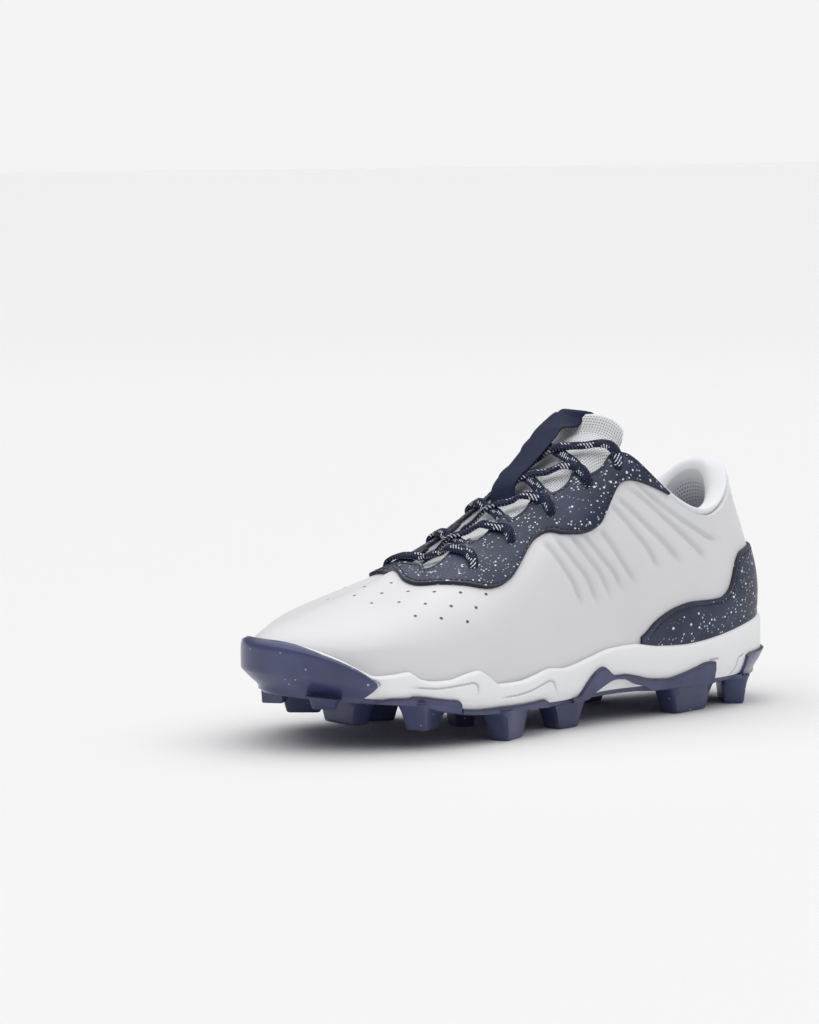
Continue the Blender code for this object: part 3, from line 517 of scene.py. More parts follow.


# Speckled navy: white flecks in crowds away from the edge, a dark cut edge, and the eyelet holes painted as
# near-black dots of shade
def navyPaint(name):
    look = {"colour": (0.028, 0.039, 0.086), "deep": (0.014, 0.021, 0.052), "fleck": (0.78, 0.80, 0.84),
            "rim": (0.006, 0.008, 0.016)}
    paint = Paint(name, 0.45, Specular_IOR_Level=0.44)
    away = paint.mark("away")
    base = paint.mix(paint.noise(60.0).step(0.3, 0.7), look["colour"], look["deep"])
    crowd = paint.noise(130.0).step(0.36, 0.66)
    fine = paint.flecks(760.0, 0.42, 0.55) * crowd.math("MAXIMUM", 0.45)
    large = paint.flecks(360.0, 0.28, 0.30)
    fleck = fine.math("MAXIMUM", large) * away.step(0.0005, 0.0008)
    rimmed = paint.mix(1 - away.step(0.0002, 0.0006), base, look["rim"])
    # Painted shade: each eyelet hole is a near-black dot with a sunk bump, in place of an opening
    hole = 1 - paint.nearest(eyeletPlaces).step(eyelets["radius"] * 0.9, eyelets["radius"] * 1.1)
    colour = paint.mix(hole, paint.mix(fleck.step(0.3, 0.6), rimmed, look["fleck"]), look["rim"])
    grain = paint.noise(1500.0, 2) * 0.00005 - hole * 0.0012
    return paint.done(colour, grain, Roughness=paint.noise(400.0) * 0.16 + 0.36)


# One colour, a little cloudy, with fine relief
def plainPaint(name, colour, roughness, fine=1800.0, height=0.00004, **values):
    paint = Paint(name, roughness, **values)
    cloud = paint.noise(90.0)
    tone = paint.mix(cloud.step(0.3, 0.8), colour, tuple(0.9 * part for part in colour))
    return paint.done(tone, paint.noise(fine) * height, Roughness=cloud * 0.12 + (roughness - 0.06))


# White foam, greyer where the moulded lines are sunk: painted shade in the grooves
def foamPaint():
    look = {"colour": (0.90, 0.905, 0.915), "groove": (0.50, 0.52, 0.54)}
    paint = Paint("cleat_foam", 0.5, Specular_IOR_Level=0.4)
    cloud = paint.noise(70.0)
    tone = paint.mix(cloud.step(0.4, 0.8) * 0.3, look["colour"], (0.85, 0.855, 0.87))
    # Painted shade: grey mixed in by the depth of the moulded grooves
    grooveShaded = paint.mix(paint.mark("groove").step(0.15, 0.9), tone, look["groove"])
    return paint.done(grooveShaded, paint.noise(1300.0) * 0.00003, Roughness=cloud * 0.14 + 0.42)


# Dark blue rubber with a soft coat, a few flecks, and painted shade along the waves' top edges where they
# meet the foam
def rubberPaint():
    look = {"colour": (0.064, 0.074, 0.172), "deep": (0.040, 0.046, 0.120), "fleck": (0.55, 0.58, 0.68),
            "rim": (0.010, 0.013, 0.036)}
    paint = Paint("cleat_rubber", 0.3, Coat_Weight=0.2, Coat_Roughness=0.2)
    cloud = paint.noise(45.0, 3)
    tone = paint.mix(cloud.step(0.3, 0.7), look["colour"], look["deep"])
    # Painted shade: near-black along each band's top edge, set by the rim mark
    rimmed = paint.mix(paint.mark("rim") * 0.85, tone, look["rim"])
    fleck = paint.flecks(420.0, 0.20, 0.16)
    return paint.done(paint.mix(fleck * 0.8, rimmed, look["fleck"]), paint.noise(500.0) * 0.00004,
                      Roughness=cloud * 0.16 + 0.22)


# Square open mesh from two marks in metres: cells with a hole in each, each hole painted darker as painted
# shade over the layer beneath
def meshPaint(name, cell, colour, openingShade, size=0.34, shift=0.0, stretch=1.0):
    paint = Paint(name, 0.85, Sheen_Weight=0.15)
    down = paint.mark("along") / cell
    row = down.math("FLOOR")
    across = paint.mark("across") / (cell * stretch) + row * shift
    a = across.math("FRACT") - 0.5
    b = down.math("FRACT") - 0.5
    away = (a * a + b * b).math("SQRT")
    hole = (1 - away.step(size * 0.75, size * 1.15)) * paint.mark("mesh")
    # Painted shade: each opening takes the darker colour
    colourNow = paint.mix(hole, colour, openingShade)
    threads = paint.noise(3200.0) * 0.00005
    return paint.done(colourNow, threads - hole * 0.00035, Roughness=hole * 0.1 + 0.8)


# Braid: diamond cells between two diagonals of the marks, each cell's crown painted lighter than its edges as
# painted highlight; light dashes in some groups of cells
def braidPaint():
    look = {"colour": (0.007, 0.011, 0.034), "light": (0.018, 0.026, 0.066), "fleck": (0.78, 0.80, 0.85)}
    paint = Paint("cleat_lace", 0.8, Sheen_Weight=0.04, Sheen_Roughness=0.5,
                  Specular_IOR_Level=0.16)
    along, across = paint.mark("along") / 0.00185, paint.mark("across") / 0.00170
    first, second = along + across, along - across
    cell = paint.node("CombineXYZ", "Vector", X=(along / 2.6).math("FLOOR"), Y=(across * 1.3).math("FLOOR"),
                      Z=paint.mark("face"))
    chance = paint.node("TexWhiteNoise", "Value", {"noise_dimensions": "3D"}, Vector=cell)
    a = first.math("FRACT") - 0.5
    b = second.math("FRACT") - 0.5
    dome = 1 - (a * a + b * b) * 3.2
    dash = (1 - b.math("ABSOLUTE").step(0.16, 0.24)) * (1 - a.math("ABSOLUTE").step(0.38, 0.46))
    fleck = chance.step(0.66, 0.67) * dash
    # Painted highlight: the colour turns lighter towards each cell's raised middle
    colour = paint.mix(fleck, paint.mix(dome.step(0.2, 1.0), look["colour"], look["light"]), look["fleck"])
    return paint.done(colour, dome * 0.00022 + paint.noise(4000.0) * 0.00004)


# Webbing: ribs across the strap and a finer twill, both sine waves of the marks; the rib crests painted
# lighter as painted highlight
def webbingPaint():
    look = {"colour": (0.006, 0.012, 0.040), "light": (0.013, 0.024, 0.070)}
    paint = Paint("cleat_webbing", 0.5, Sheen_Weight=0.03, Sheen_Roughness=0.4,
                  Specular_IOR_Level=0.16)
    rib = (paint.mark("along") * (2 * np.pi / 0.0008)).math("SINE")
    twill = ((paint.mark("along") + paint.mark("across")) * (2 * np.pi / 0.0005)).math("SINE")
    # Painted highlight: lighter colour on each rib's crest, darker in its furrows
    colour = paint.mix(rib.step(-0.4, 1.0), look["colour"], look["light"])
    return paint.done(colour, rib * 0.00007 + twill * 0.00002)


white = leatherPaint()
navy = navyPaint("cleat_navy")
threadPaint = plainPaint("cleat_thread", (0.010, 0.013, 0.030), 0.6, 6000.0, 0.00005)
foam = foamPaint()
rubber = rubberPaint()
tongueMesh = meshPaint("cleat_tongue_mesh", 0.00115, (0.84, 0.845, 0.86), (0.36, 0.38, 0.43), 0.27, 0.0, 1.7)
liningMesh = meshPaint("cleat_lining_mesh", 0.0018, (0.83, 0.845, 0.875), (0.40, 0.47, 0.56), 0.28, 0.5)
lace = braidPaint()
webbing = webbingPaint()
print("materials made")

# The throat's scalloped edge
scallops = {"u": [11.90, 10.05, 8.80, 7.62, 6.55], "width": 0.0125, "soften": 0.0011}
fineU = np.linspace(0, body["turn"], 5601)
crestLine = wall(fineU, 1.0)
crestLength = np.concatenate([[0], np.cumsum(np.linalg.norm(np.diff(crestLine, axis=0), axis=1))])


# Depth cut from the top edge in metres: round notches by distance along the edge, then smoothed
def notchTable(extra):
    even = np.arange(0, crestLength[-1], 0.0001)
    depth = np.zeros(len(even))
    radius = scallops["width"] / 2 + extra
    for place in scallops["u"] + [body["turn"] - item for item in scallops["u"]]:
        away = even - np.interp(place, fineU, crestLength)
        depth = np.maximum(depth, np.sqrt(np.maximum(radius**2 - away**2, 0)))
    half = int(scallops["soften"] / 0.0001)
    bell = np.exp(-0.5 * (np.arange(-2 * half, 2 * half + 1) / (half * 0.8))**2)
    return even, np.convolve(depth, bell / bell.sum(), "same")


# Length of the wall's course for one unit of v
def farOf(u):
    return np.linalg.norm(wall(u, 0.95) - wall(u, 0.55), axis=-1) / 0.4


# v of the scalloped edge: the top line less the notch depth there
def throatEdge(u, extra=0.0):
    even, depth = notchTable(extra)
    return 1 - np.interp(np.interp(u, fineU, crestLength), even, depth) / farOf(u)


# The upper
upperLook = {"columns": 840, "rows": 100, "innerRows": 10, "ribDepth": 0.0015, "ribWidth": 0.0017,
             "round": 0.0007, "crowd": 0.94, "above": 0.0004, "ribSteps": 90,
             "ribSide": (2.4, 8.4)}    # u of the quarter that carries ribs
ribLines = [
    [(5.12, 0.856), (4.40, 0.840), (3.88, 0.800), (3.44, 0.730), (3.20, 0.656)],
    [(5.40, 0.792), (4.64, 0.736), (4.16, 0.688), (3.80, 0.610)],
    [(5.60, 0.760), (4.92, 0.688), (4.48, 0.624), (4.20, 0.540)],
    [(5.80, 0.656), (5.24, 0.576), (4.92, 0.512), (4.60, 0.440)],
    [(6.32, 0.656), (5.60, 0.544), (5.12, 0.472), (4.88, 0.400)],
    [(6.76, 0.680), (6.12, 0.568), (5.48, 0.464), (5.15, 0.380)],
    [(7.24, 0.696), (6.52, 0.568), (5.88, 0.456), (5.50, 0.360)],
    [(7.68, 0.712), (6.96, 0.584), (6.32, 0.456), (5.98, 0.365)],
    [(4.76, 0.896), (4.12, 0.896), (3.56, 0.880), (2.92, 0.792)],
]


# Depth of grooves at points: a bell over the distance to the nearest place of each line, faded at its ends
def grooves(points, lines, depth, width):
    total = np.zeros(points.shape[:-1])
    for line in lines:
        near, best = np.full(total.shape, 1.0), np.zeros(total.shape)
        for index, spot in enumerate(line):
            away = np.linalg.norm(points - spot, axis=-1)
            closer = away < near
            near = np.where(closer, away, near)
            best = np.where(closer, index / (len(line) - 1), best)
        fade = np.clip(np.minimum(best, 1 - best) * 6, 0, 1)
        total = np.maximum(total, depth * fade * np.exp(-(near / width)**2))
    return total


# Outer face less its ribs and its rolled top edge, and an inner face one wall further in
def makeUpper():
    u = np.arange(upperLook["columns"]) * body["turn"] / upperLook["columns"]
    crest = throatEdge(u, upperLook["above"])
    share = np.linspace(0, 1, upperLook["rows"]) ** upperLook["crowd"]
    v = crest[:, None] * share
    outside = skin(u[:, None], v, np.zeros(v.shape))
    ribs = []
    for line in ribLines:
        line = np.array(line) * [0.1, 1.0]
        longer = np.concatenate([[1.35 * line[0] - 0.35 * line[1]], line, [1.4 * line[-1] - 0.4 * line[-2]]])
        path = thread(longer, upperLook["ribSteps"])
        ribs.append(wall(path[:, 0] * 10, path[:, 1]))
    quarter = (u > upperLook["ribSide"][0]) & (u < upperLook["ribSide"][1])
    sunk = np.zeros(v.shape)
    sunk[quarter] = grooves(outside[quarter], ribs, upperLook["ribDepth"], upperLook["ribWidth"])
    fromTop = np.clip((crest[:, None] - v) * farOf(u)[:, None] / upperLook["round"], 0, 1)
    rolled = upperLook["round"] * (1 - np.sqrt(np.clip(1 - (1 - fromTop)**2, 0, 1)))
    outside = outside - wallNormal(u[:, None], v) * (sunk + rolled)[..., None]
    back = np.linspace(0, 1, upperLook["innerRows"])
    inner = crest[:, None] * back
    inside = skin(u[:, None], inner, np.full(inner.shape, -body["upperWall"]))
    grid = np.concatenate([outside, inside[:, ::-1]], 1)
    # Rib depth share at each point, which sets the painted shade in the creases
    crease = np.concatenate([sunk / upperLook["ribDepth"], 0 * inner], 1)
    assemble("upper_shell", [shellOf(grid, True, True, crease=crease)], white, ["upper"])


# How many times further up the wall a sloping line is than straight across to it
def slopeOf(u, line):
    run = np.linalg.norm(np.gradient(wall(u, 0.8), axis=0), axis=-1)
    return np.sqrt(1 + (np.gradient(line) * farOf(u) / run)**2)


# Both overlays: the dip along the seam, where the layer swells, and its inner face below its seat
layer = {"seamDepth": 0.00022, "seamWidth": 0.0005, "swellFrom": 0.0028, "swellRun": 0.006, "sunk": 0.0002}


# A layer on the upper between two lines, its edges rounded and its stitch line sunk
def overlay(u, low, high, look):
    share = 0.5 - 0.5 * np.cos(np.pi * np.linspace(0, 1, look["rows"]))
    v = low[:, None] + (high - low)[:, None] * share
    far = farOf(u)[:, None]
    fromLow = (v - low[:, None]) * far / slopeOf(u, low)[:, None]
    fromHigh = (high[:, None] - v) * far / slopeOf(u, high)[:, None]
    away = np.minimum(fromLow, fromHigh)
    curve = np.sqrt(1 - (1 - np.clip(away / look["round"], 0, 1))**2)
    puff = look["puff"] * np.clip((away - layer["swellFrom"]) / layer["swellRun"], 0, 1)
    stitch = layer["seamDepth"] * np.exp(-((away - look["inset"]) / layer["seamWidth"])**2)
    lift = seat + look["thick"] * curve - stitch + puff
    outside = skin(u[:, None], v, lift)
    inside = skin(u[:, None], v[:, ::-1], np.full(v.shape, seat - layer["sunk"]))
    grid = np.concatenate([outside, inside], 1)
    return shellOf(grid, False, True, away=np.concatenate([away, away * 0 + 0.01], 1))


# Thread bumps along a course on the wall, each a small capsule
def stitches(u, v, out, look):
    line = skin(u, v, np.full(len(u), out))
    run = np.concatenate([[0], np.cumsum(np.linalg.norm(np.diff(line, axis=0), axis=1))])
    count = int(run[-1] / look["pitch"])
    middle = (np.arange(count) + 0.5) * look["pitch"]
    centre = np.stack([np.interp(middle, run, line[:, k]) for k in range(3)], -1)
    above = wallNormal(np.interp(middle, run, u), np.interp(middle, run, v))
    ahead = np.stack([np.interp(middle + 0.0003, run, line[:, k]) for k in range(3)], -1) - centre
    aside = unit(np.cross(above, ahead))
    along = unit(np.cross(aside, above))
    ring = np.arange(8) * np.pi / 4
    bend = np.array([-1, -0.92, -0.6, 0, 0.6, 0.92, 1])
    swell = np.array([0.05, 0.55, 0.95, 1, 0.95, 0.55, 0.05])
    form = np.stack([bend[:, None] * look["long"] / 2 + 0 * ring,
                     swell[:, None] * np.cos(ring) * look["wide"] / 2,
                     swell[:, None] * np.sin(ring) * look["wide"] / 2 - 0.1 * look["wide"]], -1)
    small = shellOf(form, False, True)
    return copies(small["points"], small["faces"], centre, along, aside, above)


stay = {"rows": 34, "thick": 0.0013, "round": 0.0006, "puff": 0.0002, "inset": 0.0020}
stayEdge = table("u v", [
    (4.12, 0.984), (4.76, 0.912), (5.16, 0.880), (5.50, 0.850), (5.68, 0.800), (5.80, 0.740),
    (5.95, 0.688), (6.30, 0.672), (7.16, 0.715), (7.85, 0.765), (8.10, 0.760), (8.26, 0.700),
    (8.42, 0.610), (8.76, 0.584), (9.88, 0.664), (11.12, 0.776), (12.68, 0.894), (13.64, 0.950),
    (14.60, 0.970), (15.50, 0.972), (16.88, 0.880), (18.12, 0.690), (19.24, 0.584), (19.58, 0.610),
    (19.74, 0.700), (19.90, 0.760), (20.15, 0.765), (20.84, 0.715), (21.70, 0.672), (22.05, 0.688),
    (22.20, 0.740), (22.32, 0.800), (22.50, 0.850), (22.84, 0.880), (23.24, 0.912), (23.88, 0.984),
])
seam = {"pitch": 0.0024, "long": 0.0019, "wide": 0.0007, "sunk": 0.0001}


# v of a line moved off it by a length, along the wall
def moved(u, line, by):
    return line + by * np.clip(slopeOf(u, line), 1, 2.6) / farOf(u)


# The layer from stayEdge up to the scallops, with a seam along each edge
def makeEyestay():
    u = np.arange(stayEdge["u"][0], body["turn"] - stayEdge["u"][0] + 0.001, 0.02)
    low = smooth(stayEdge["u"], stayEdge["v"], u)
    low = np.convolve(np.pad(low, 4, "edge"), np.ones(9) / 9, "valid")
    high = throatEdge(u)
    high[[0, -1]] = np.maximum(high[[0, -1]], low[[0, -1]] + 0.004)
    assemble("eyestay_layer", [overlay(u, low, high, stay)], navy, ["eyestay"])
    over = stay["thick"] + seat - seam["sunk"]
    wide = (high - low) * farOf(u) > 0.0065
    shells = [stitches(u[wide], moved(u, low, stay["inset"])[wide], over, seam)]
    shells.append(stitches(u[wide], moved(u, high, -stay["inset"])[wide], over, seam))
    assemble("eyestay_stitches", shells, threadPaint)


counterLook = {"rows": 30, "thick": 0.0013, "round": 0.0006, "puff": 0.0002, "inset": 0.0020}
counterEdge = table("u v", [
    (0.00, 0.500), (1.00, 0.522), (1.68, 0.565), (2.10, 0.585), (2.34, 0.540), (2.50, 0.450), (2.64, 0.362),
    (2.88, 0.318), (3.44, 0.325), (3.76, 0.300), (4.44, 0.175),
])


# The layer from under the foam up to counterEdge, with a seam under its top
def makeCounter():
    end = counterEdge["u"][-1]
    u = np.linspace(-end, end, 560)
    low = shareAtHeight(u, rimHeight(station(u)) + 2 * body["gap"]) - 0.012
    high = np.maximum(smooth(counterEdge["u"], counterEdge["v"], np.abs(u)), low + 0.015)
    high = np.convolve(np.pad(high, 5, "edge"), np.ones(11) / 11, "valid")
    assemble("heel_layer", [overlay(u, low, high, counterLook)], navy, ["heel_counter"])
    wide = (high - low) * farOf(u) > 0.006
    over = counterLook["thick"] + seat - seam["sunk"]
    line = moved(u, high, -counterLook["inset"])
    assemble("heel_stitches", [stitches(u[wide], line[wide], over, seam)], threadPaint)


# The padded collar: a closed smooth profile swept round, standing over the upper's top line
pad = {"wall": 0.0080, "over": 0.0045, "columns": 420, "profile": 72, "end": 5.1}


# rise: up the wall.  depth: into the shoe.  share: how much of the padding is added there
def makeCollar():
    u = np.linspace(-pad["end"], pad["end"], pad["columns"])
    thick = pad["wall"] * smooth([0, 3.2, 5.1], [1.0, 0.9, 0.22], np.abs(u))
    far = np.linalg.norm(wall(u, 1.0) - wall(u, body["bulgeAt"]), axis=-1) / (1 - body["bulgeAt"])
    over = pad["over"] * smooth([0, 3.5, 5.1], [1.0, 0.85, 0.5], np.abs(u)) / far
    inside = body["upperWall"] + seat
    places = np.array([
        (-0.28, inside, 0.0), (-0.14, inside, 0.0), (-0.03, inside, 0.0), (0.20, inside * 0.6, 0.0),
        (0.50, 0.0006, 0.0), (0.85, 0.0008, 0.06), (1.0, inside, 0.35), (0.75, inside, 0.85),
        (0.1, inside, 1.12), (-0.04, inside, 1.15), (-0.16, inside, 1.0), (-0.27, inside, 0.35),
    ])
    at = np.linspace(0, len(places), pad["profile"], endpoint=False)
    rise, depth, share = (loopSpline(places[:, k], at) for k in range(3))
    v = np.where(rise > 0, 1 + over[:, None] * rise, 1 + rise)
    grid = skin(u[:, None], v, -(depth + thick[:, None] * share))
    run = np.cumsum(np.linalg.norm(np.gradient(grid[:, 40], axis=0), axis=-1))[:, None]
    down = (1 - v) * far[:, None]
    mesh = np.where(share > 0.8, np.clip((down - 0.004) / 0.002, 0, 1), 0)
    shell = shellOf(grid, False, True, along=down, across=run + 0 * v, mesh=mesh)
    obj = assemble("collar_roll", [shell], liningMesh, ["collar_pad"])


# The throat closed over: t is 1 at its outer edge and -1 at its inner edge
def bridge(u, t):
    u, t = np.broadcast_arrays(np.asarray(u, float), np.asarray(t, float))
    outer, inner = wall(u, 1.0), wall(body["turn"] - u, 1.0)
    outerWay = unit(wall(u, 1.02) - wall(u, 1.0))
    innerWay = unit(wall(body["turn"] - u, 1.02) - wall(body["turn"] - u, 1.0))
    handle = 0.30 * np.linalg.norm(outer - inner, axis=-1, keepdims=True)
    across = bezier(outer, outer + outerWay * handle, inner + innerWay * handle, inner,
                    np.clip((1 - t) / 2, 0, 1))
    onOuter = wall(u, 1 - 0.4 * np.maximum(t - 1, 0))
    onInner = wall(body["turn"] - u, 1 - 0.4 * np.maximum(-t - 1, 0))
    return np.where((t > 1)[..., None], onOuter, np.where((t < -1)[..., None], onInner, across))


# The closed throat moved out along its normal
def overBridge(u, t, out):
    u, t = np.broadcast_arrays(np.asarray(u, float), np.asarray(t, float))
    forward = bridge(u + 0.02, t) - bridge(u - 0.02, t)
    aside = bridge(u, t + 0.02) - bridge(u, t - 0.02)
    return bridge(u, t) + unit(np.cross(forward, aside)) * np.broadcast_to(out, u.shape)[..., None]


tongueLook = {"depth": body["upperWall"] + 2.5 * body["gap"], "wall": 0.0042, "over": 0.0100, "top": 5.66,
              "rows": 260, "cross": 61, "side": 1.3, "rim": 0.0022, "roll": 0.0007, "rollAt": 0.0035,
              "under": (12.9, 12.2, 11.4, 10.6, 9.8, 9.0, 8.2, 7.5, 6.8)}
# How narrow the tongue gets: at u, and at shares of its end above the throat
tongueNarrow = ((6.2, 0.86), (tongueLook["top"], 0.74))
tongueTop = ((0.4, 0.72), (0.75, 0.66), (1.0, 0.58))


# A line across the tongue above the throat's corners
def tongueEnd(t, lift, narrow, depth):
    return overBridge(tongueLook["top"], t * narrow, -depth) + np.array([0.0, 0.45, 0.9]) * lift


# Two sheets under the closed throat, drawn together to a rounded rim, with a roll under the top
def makeTongue():
    t = np.linspace(-tongueLook["side"], tongueLook["side"], tongueLook["cross"])
    sheets = []
    for depth in (tongueLook["depth"], tongueLook["depth"] + tongueLook["wall"]):
        rows = [overBridge(u, t, -depth) for u in tongueLook["under"]]
        rows += [overBridge(u, t * narrow, -depth) for u, narrow in tongueNarrow]
        for lift, narrow in tongueTop:
            rows.append(tongueEnd(t, lift * tongueLook["over"], narrow, depth))
        sheets.append(thread(np.stack(rows), tongueLook["rows"]))
    outer, inner = sheets
    middle, half = (outer + inner) / 2, (outer - inner) / 2
    run = np.concatenate([[0], np.cumsum(np.linalg.norm(np.diff(middle[:, 30], axis=0), axis=-1))])
    across = np.concatenate([np.zeros((len(run), 1)), np.cumsum(
        np.linalg.norm(np.diff(middle, axis=1), axis=-1), axis=1)], 1)
    fromSide = np.minimum(across, across[:, -1:] - across)
    fromTop = (run[-1] - run)[:, None]
    away = np.minimum(fromSide, fromTop)
    swell = np.sqrt(np.clip(1 - (1 - np.clip(away / tongueLook["rim"], 0, 1))**2, 0.002, 1))
    rolled = tongueLook["roll"] * np.exp(-((fromTop - tongueLook["rollAt"]) / tongueLook["rim"])**2)
    lift = half * swell[..., None] + unit(half) * rolled[..., None]
    grid = np.concatenate([middle + lift, (middle - lift)[:, ::-1]], 1)
    along = np.concatenate([run[:, None] + 0 * across] * 2, 1)
    side = np.concatenate([across, across[:, ::-1]], 1)
    mesh = np.concatenate([np.clip((fromTop + 0 * across - 0.002) / 0.001, 0, 1)] * 2, 1)
    shell = shellOf(grid, False, True, along=along, across=side, mesh=mesh)
    obj = assemble("tongue_pad", [shell], tongueMesh, ["tongue"])


laceLook = {"wide": 0.0051, "thick": 0.0021, "rest": 0.0010, "steps": 150, "sides": 24,
            "overStay": 0.0033, "under": 0.0011 + 0.0006 - tongueLook["depth"],
            "underEdge": [10.80, 9.40, 8.20, 7.08], "dip": (0.0022, -0.0008, -0.0042),
            "climb": (0.45, 0.80), "overCross": 0.3, "hiddenThick": 0.0018,
            "neck": (0.0044, 0.0026), "tip": (0.0034, 0.0031)}    # width and thickness near an eyelet
courseU = np.arange(4.5, 11.6, 0.06)[:, None]
courseT = np.arange(-1.9, 1.91, 0.025)[None, :]
ground = bridge(courseU, courseT)
groundNormal = overBridge(courseU, courseT, 1.0) - ground


# Points and normals over the closed throat, straight in plan, at heights that clear the edges
def drape(start, end, low, count, cross=0.0):
    share = np.linspace(0, 1, count)
    points, normals = [], []
    for done in share:
        place = start[:2] + (end[:2] - start[:2]) * done
        far = np.hypot(*(ground[..., :2] - place).transpose(2, 0, 1))
        nearest = np.unravel_index(np.argmin(far), far.shape)
        side = courseT[0, nearest[1]]
        height = np.interp(abs(side), laceLook["climb"], [laceLook["rest"], laceLook["overStay"]])
        if done < 0.45 and low < laceLook["rest"]:
            height = np.interp(done, [0, 0.4], [low, laceLook["rest"]])
        height = height + cross * np.exp(-(side / laceLook["overCross"])**2)
        points.append([*place, ground[nearest][2]] + groundNormal[nearest] * height)
        normals.append(groundNormal[nearest])
    return np.array(points), np.array(normals)


# A band along a course: a flattened round section turned with the course, sized along it
def band(points, normals, wide, thick, look, power=2.6):
    both = thread(np.concatenate([points, normals * 0.01], 1), look["steps"])
    points, normals = both[:, :3], unit(both[:, 3:])
    along = unit(np.gradient(points, axis=0))
    aside = np.cross(along, normals)
    for k in range(1, len(aside)):
        if np.linalg.norm(aside[k]) < 0.55:
            aside[k] = aside[k - 1] - along[k] * np.dot(aside[k - 1], along[k])
    aside = unit(aside)
    above = unit(np.cross(aside, along))
    run = np.concatenate([[0], np.cumsum(np.linalg.norm(np.diff(points, axis=0), axis=1))])
    share = run / run[-1]
    angle = np.linspace(0, 2 * np.pi, look["sides"], endpoint=False)
    x = np.sign(np.cos(angle)) * np.abs(np.cos(angle))**(2 / power)
    y = np.sign(np.sin(angle)) * np.abs(np.sin(angle))**(2 / power)
    halfWide = np.interp(share, *wide)[:, None] / 2
    halfThick = np.interp(share, *thick)[:, None] / 2
    grid = (points[:, None] + aside[:, None] * (halfWide * x)[..., None]
            + above[:, None] * (halfThick * y)[..., None])
    face = np.broadcast_to(np.where(y >= 0, 1.0, 3.0), grid.shape[:2])
    return shellOf(grid, False, True, along=run[:, None] + 0 * x, across=halfWide * x, face=face)


# The last places of a lace as it dips into its eyelet
def dip(side, row):
    u = eyelets["u"][row] if side > 0 else body["turn"] - eyelets["u"][row]
    v = eyelets["v"][row]
    depths = np.array(laceLook["dip"])
    points = skin(np.full(3, u), np.array([v + 0.012, v - 0.004, v - 0.006]), depths)
    return points, np.repeat(wallNormal(u, v)[None], 3, 0)


# One crossing run: from under the far edge, over the throat, down into its eyelet
def laceRun(side, row):
    u, v = eyelets["u"][row], eyelets["v"][row]
    eyelet = wall(u if side > 0 else body["turn"] - u, v + 0.05)
    start = bridge(laceLook["underEdge"][row - 1], -0.80 * side)
    points, normals = drape(start, eyelet, laceLook["under"], 13, laceLook["thick"] if side > 0 else 0.0)
    hidden = overBridge(np.full(2, laceLook["underEdge"][row - 1] + 0.15), np.array([-1.12, -0.98]) * side,
                        np.array([-0.0040, -0.0036]))
    over, upright = dip(side, row)
    points = np.concatenate([hidden, points[:-1], over])
    normals = np.concatenate([normals[:2], normals[:-1], upright])
    return points, normals


# The front bar between the lowest eyelets and four crossing pairs; one run of a pair lies on top
def makeLaces():
    full, neck, tip = (laceLook["wide"], laceLook["thick"]), laceLook["neck"], laceLook["tip"]
    wide = ([0, 0.80, 0.90, 1.0], [full[0], full[0], neck[0], tip[0]])
    thick = ([0, 0.12, 0.80, 0.90, 1.0], [laceLook["hiddenThick"], full[1], full[1], neck[1], tip[1]])
    first, firstUp = dip(1, 0)
    second, secondUp = dip(-1, 0)
    u, v = eyelets["u"][0], eyelets["v"][0]
    middle, middleUp = drape(wall(u, v + 0.05), wall(body["turn"] - u, v + 0.05), laceLook["overStay"], 13)
    points = np.concatenate([first[::-1], middle[1:-1], second])
    normals = np.concatenate([firstUp, middleUp[1:-1], secondUp])
    bar = [([0, 0.08, 0.16, 0.84, 0.92, 1.0], sizes) for sizes in zip(tip, neck, full, full, neck, tip)]
    assemble("lace_front", [band(points, normals, *bar, laceLook)], lace, ["lace_bar"])
    for row in range(1, 5):
        shells = [band(*laceRun(side, row), wide, thick, laceLook) for side in (1, -1)]
        assemble(f"lace_pair_{row}", shells, lace, [f"lace_cross_{row}"])


strapLook = {"wide": 0.0165, "thick": 0.0012, "steps": 200, "sides": 28, "lean": 0.55, "square": 5.0,
             "clear": 0.0007, "from": (8.62, -0.28), "to": (6.25, -0.42)}    # from, to: u and t of its course
# Its fold: share of the tongue's end, then y and z off its face, then the face's direction
strapFold = np.array([
    (0.78, -0.0014, 0.0008, 0.20, -0.80, 0.50), (1.00, -0.0002, 0.0012, 0.05, -0.45, 0.90),
    (1.03, 0.0025, 0.0008, 0.00, 0.30, 0.95), (0.90, 0.0052, -0.0022, 0.00, 0.89, -0.45),
    (0.50, 0.0054, -0.0027, 0.00, 0.89, -0.45)])


# The strap lies on the laces, leaning to the outer side, and folds over the tongue's end
def makeStrap():
    u, offset = (np.linspace(*ends, 9) for ends in zip(strapLook["from"], strapLook["to"]))
    rest = strapLook["thick"] / 2 + 2 * body["gap"] - tongueLook["depth"]
    over = 2 * laceLook["thick"] + strapLook["clear"]
    lifts = np.interp(np.linspace(0, 1, 9), [0, 0.15, 1], [rest, over, over])
    points = overBridge(u, offset, lifts)
    leaned = offset + strapLook["lean"]
    normals = overBridge(u, leaned, 1.0) - bridge(u, leaned)
    ends = [tongueEnd(offset[-1:], row[0] * tongueLook["over"], 1.0, tongueLook["depth"])[0]
            + [0, row[1], row[2]] for row in strapFold]
    points = np.concatenate([points, ends])
    normals = np.concatenate([unit(normals), unit(strapFold[:, 3:])])
    flat = ([0, 1], [strapLook["wide"], strapLook["wide"]])
    thin = ([0, 1], [strapLook["thick"], strapLook["thick"]])
    shell = band(points, normals, flat, thin, strapLook, strapLook["square"])
    assemble("tongue_loop", [shell], webbing, ["tongue_strap"])


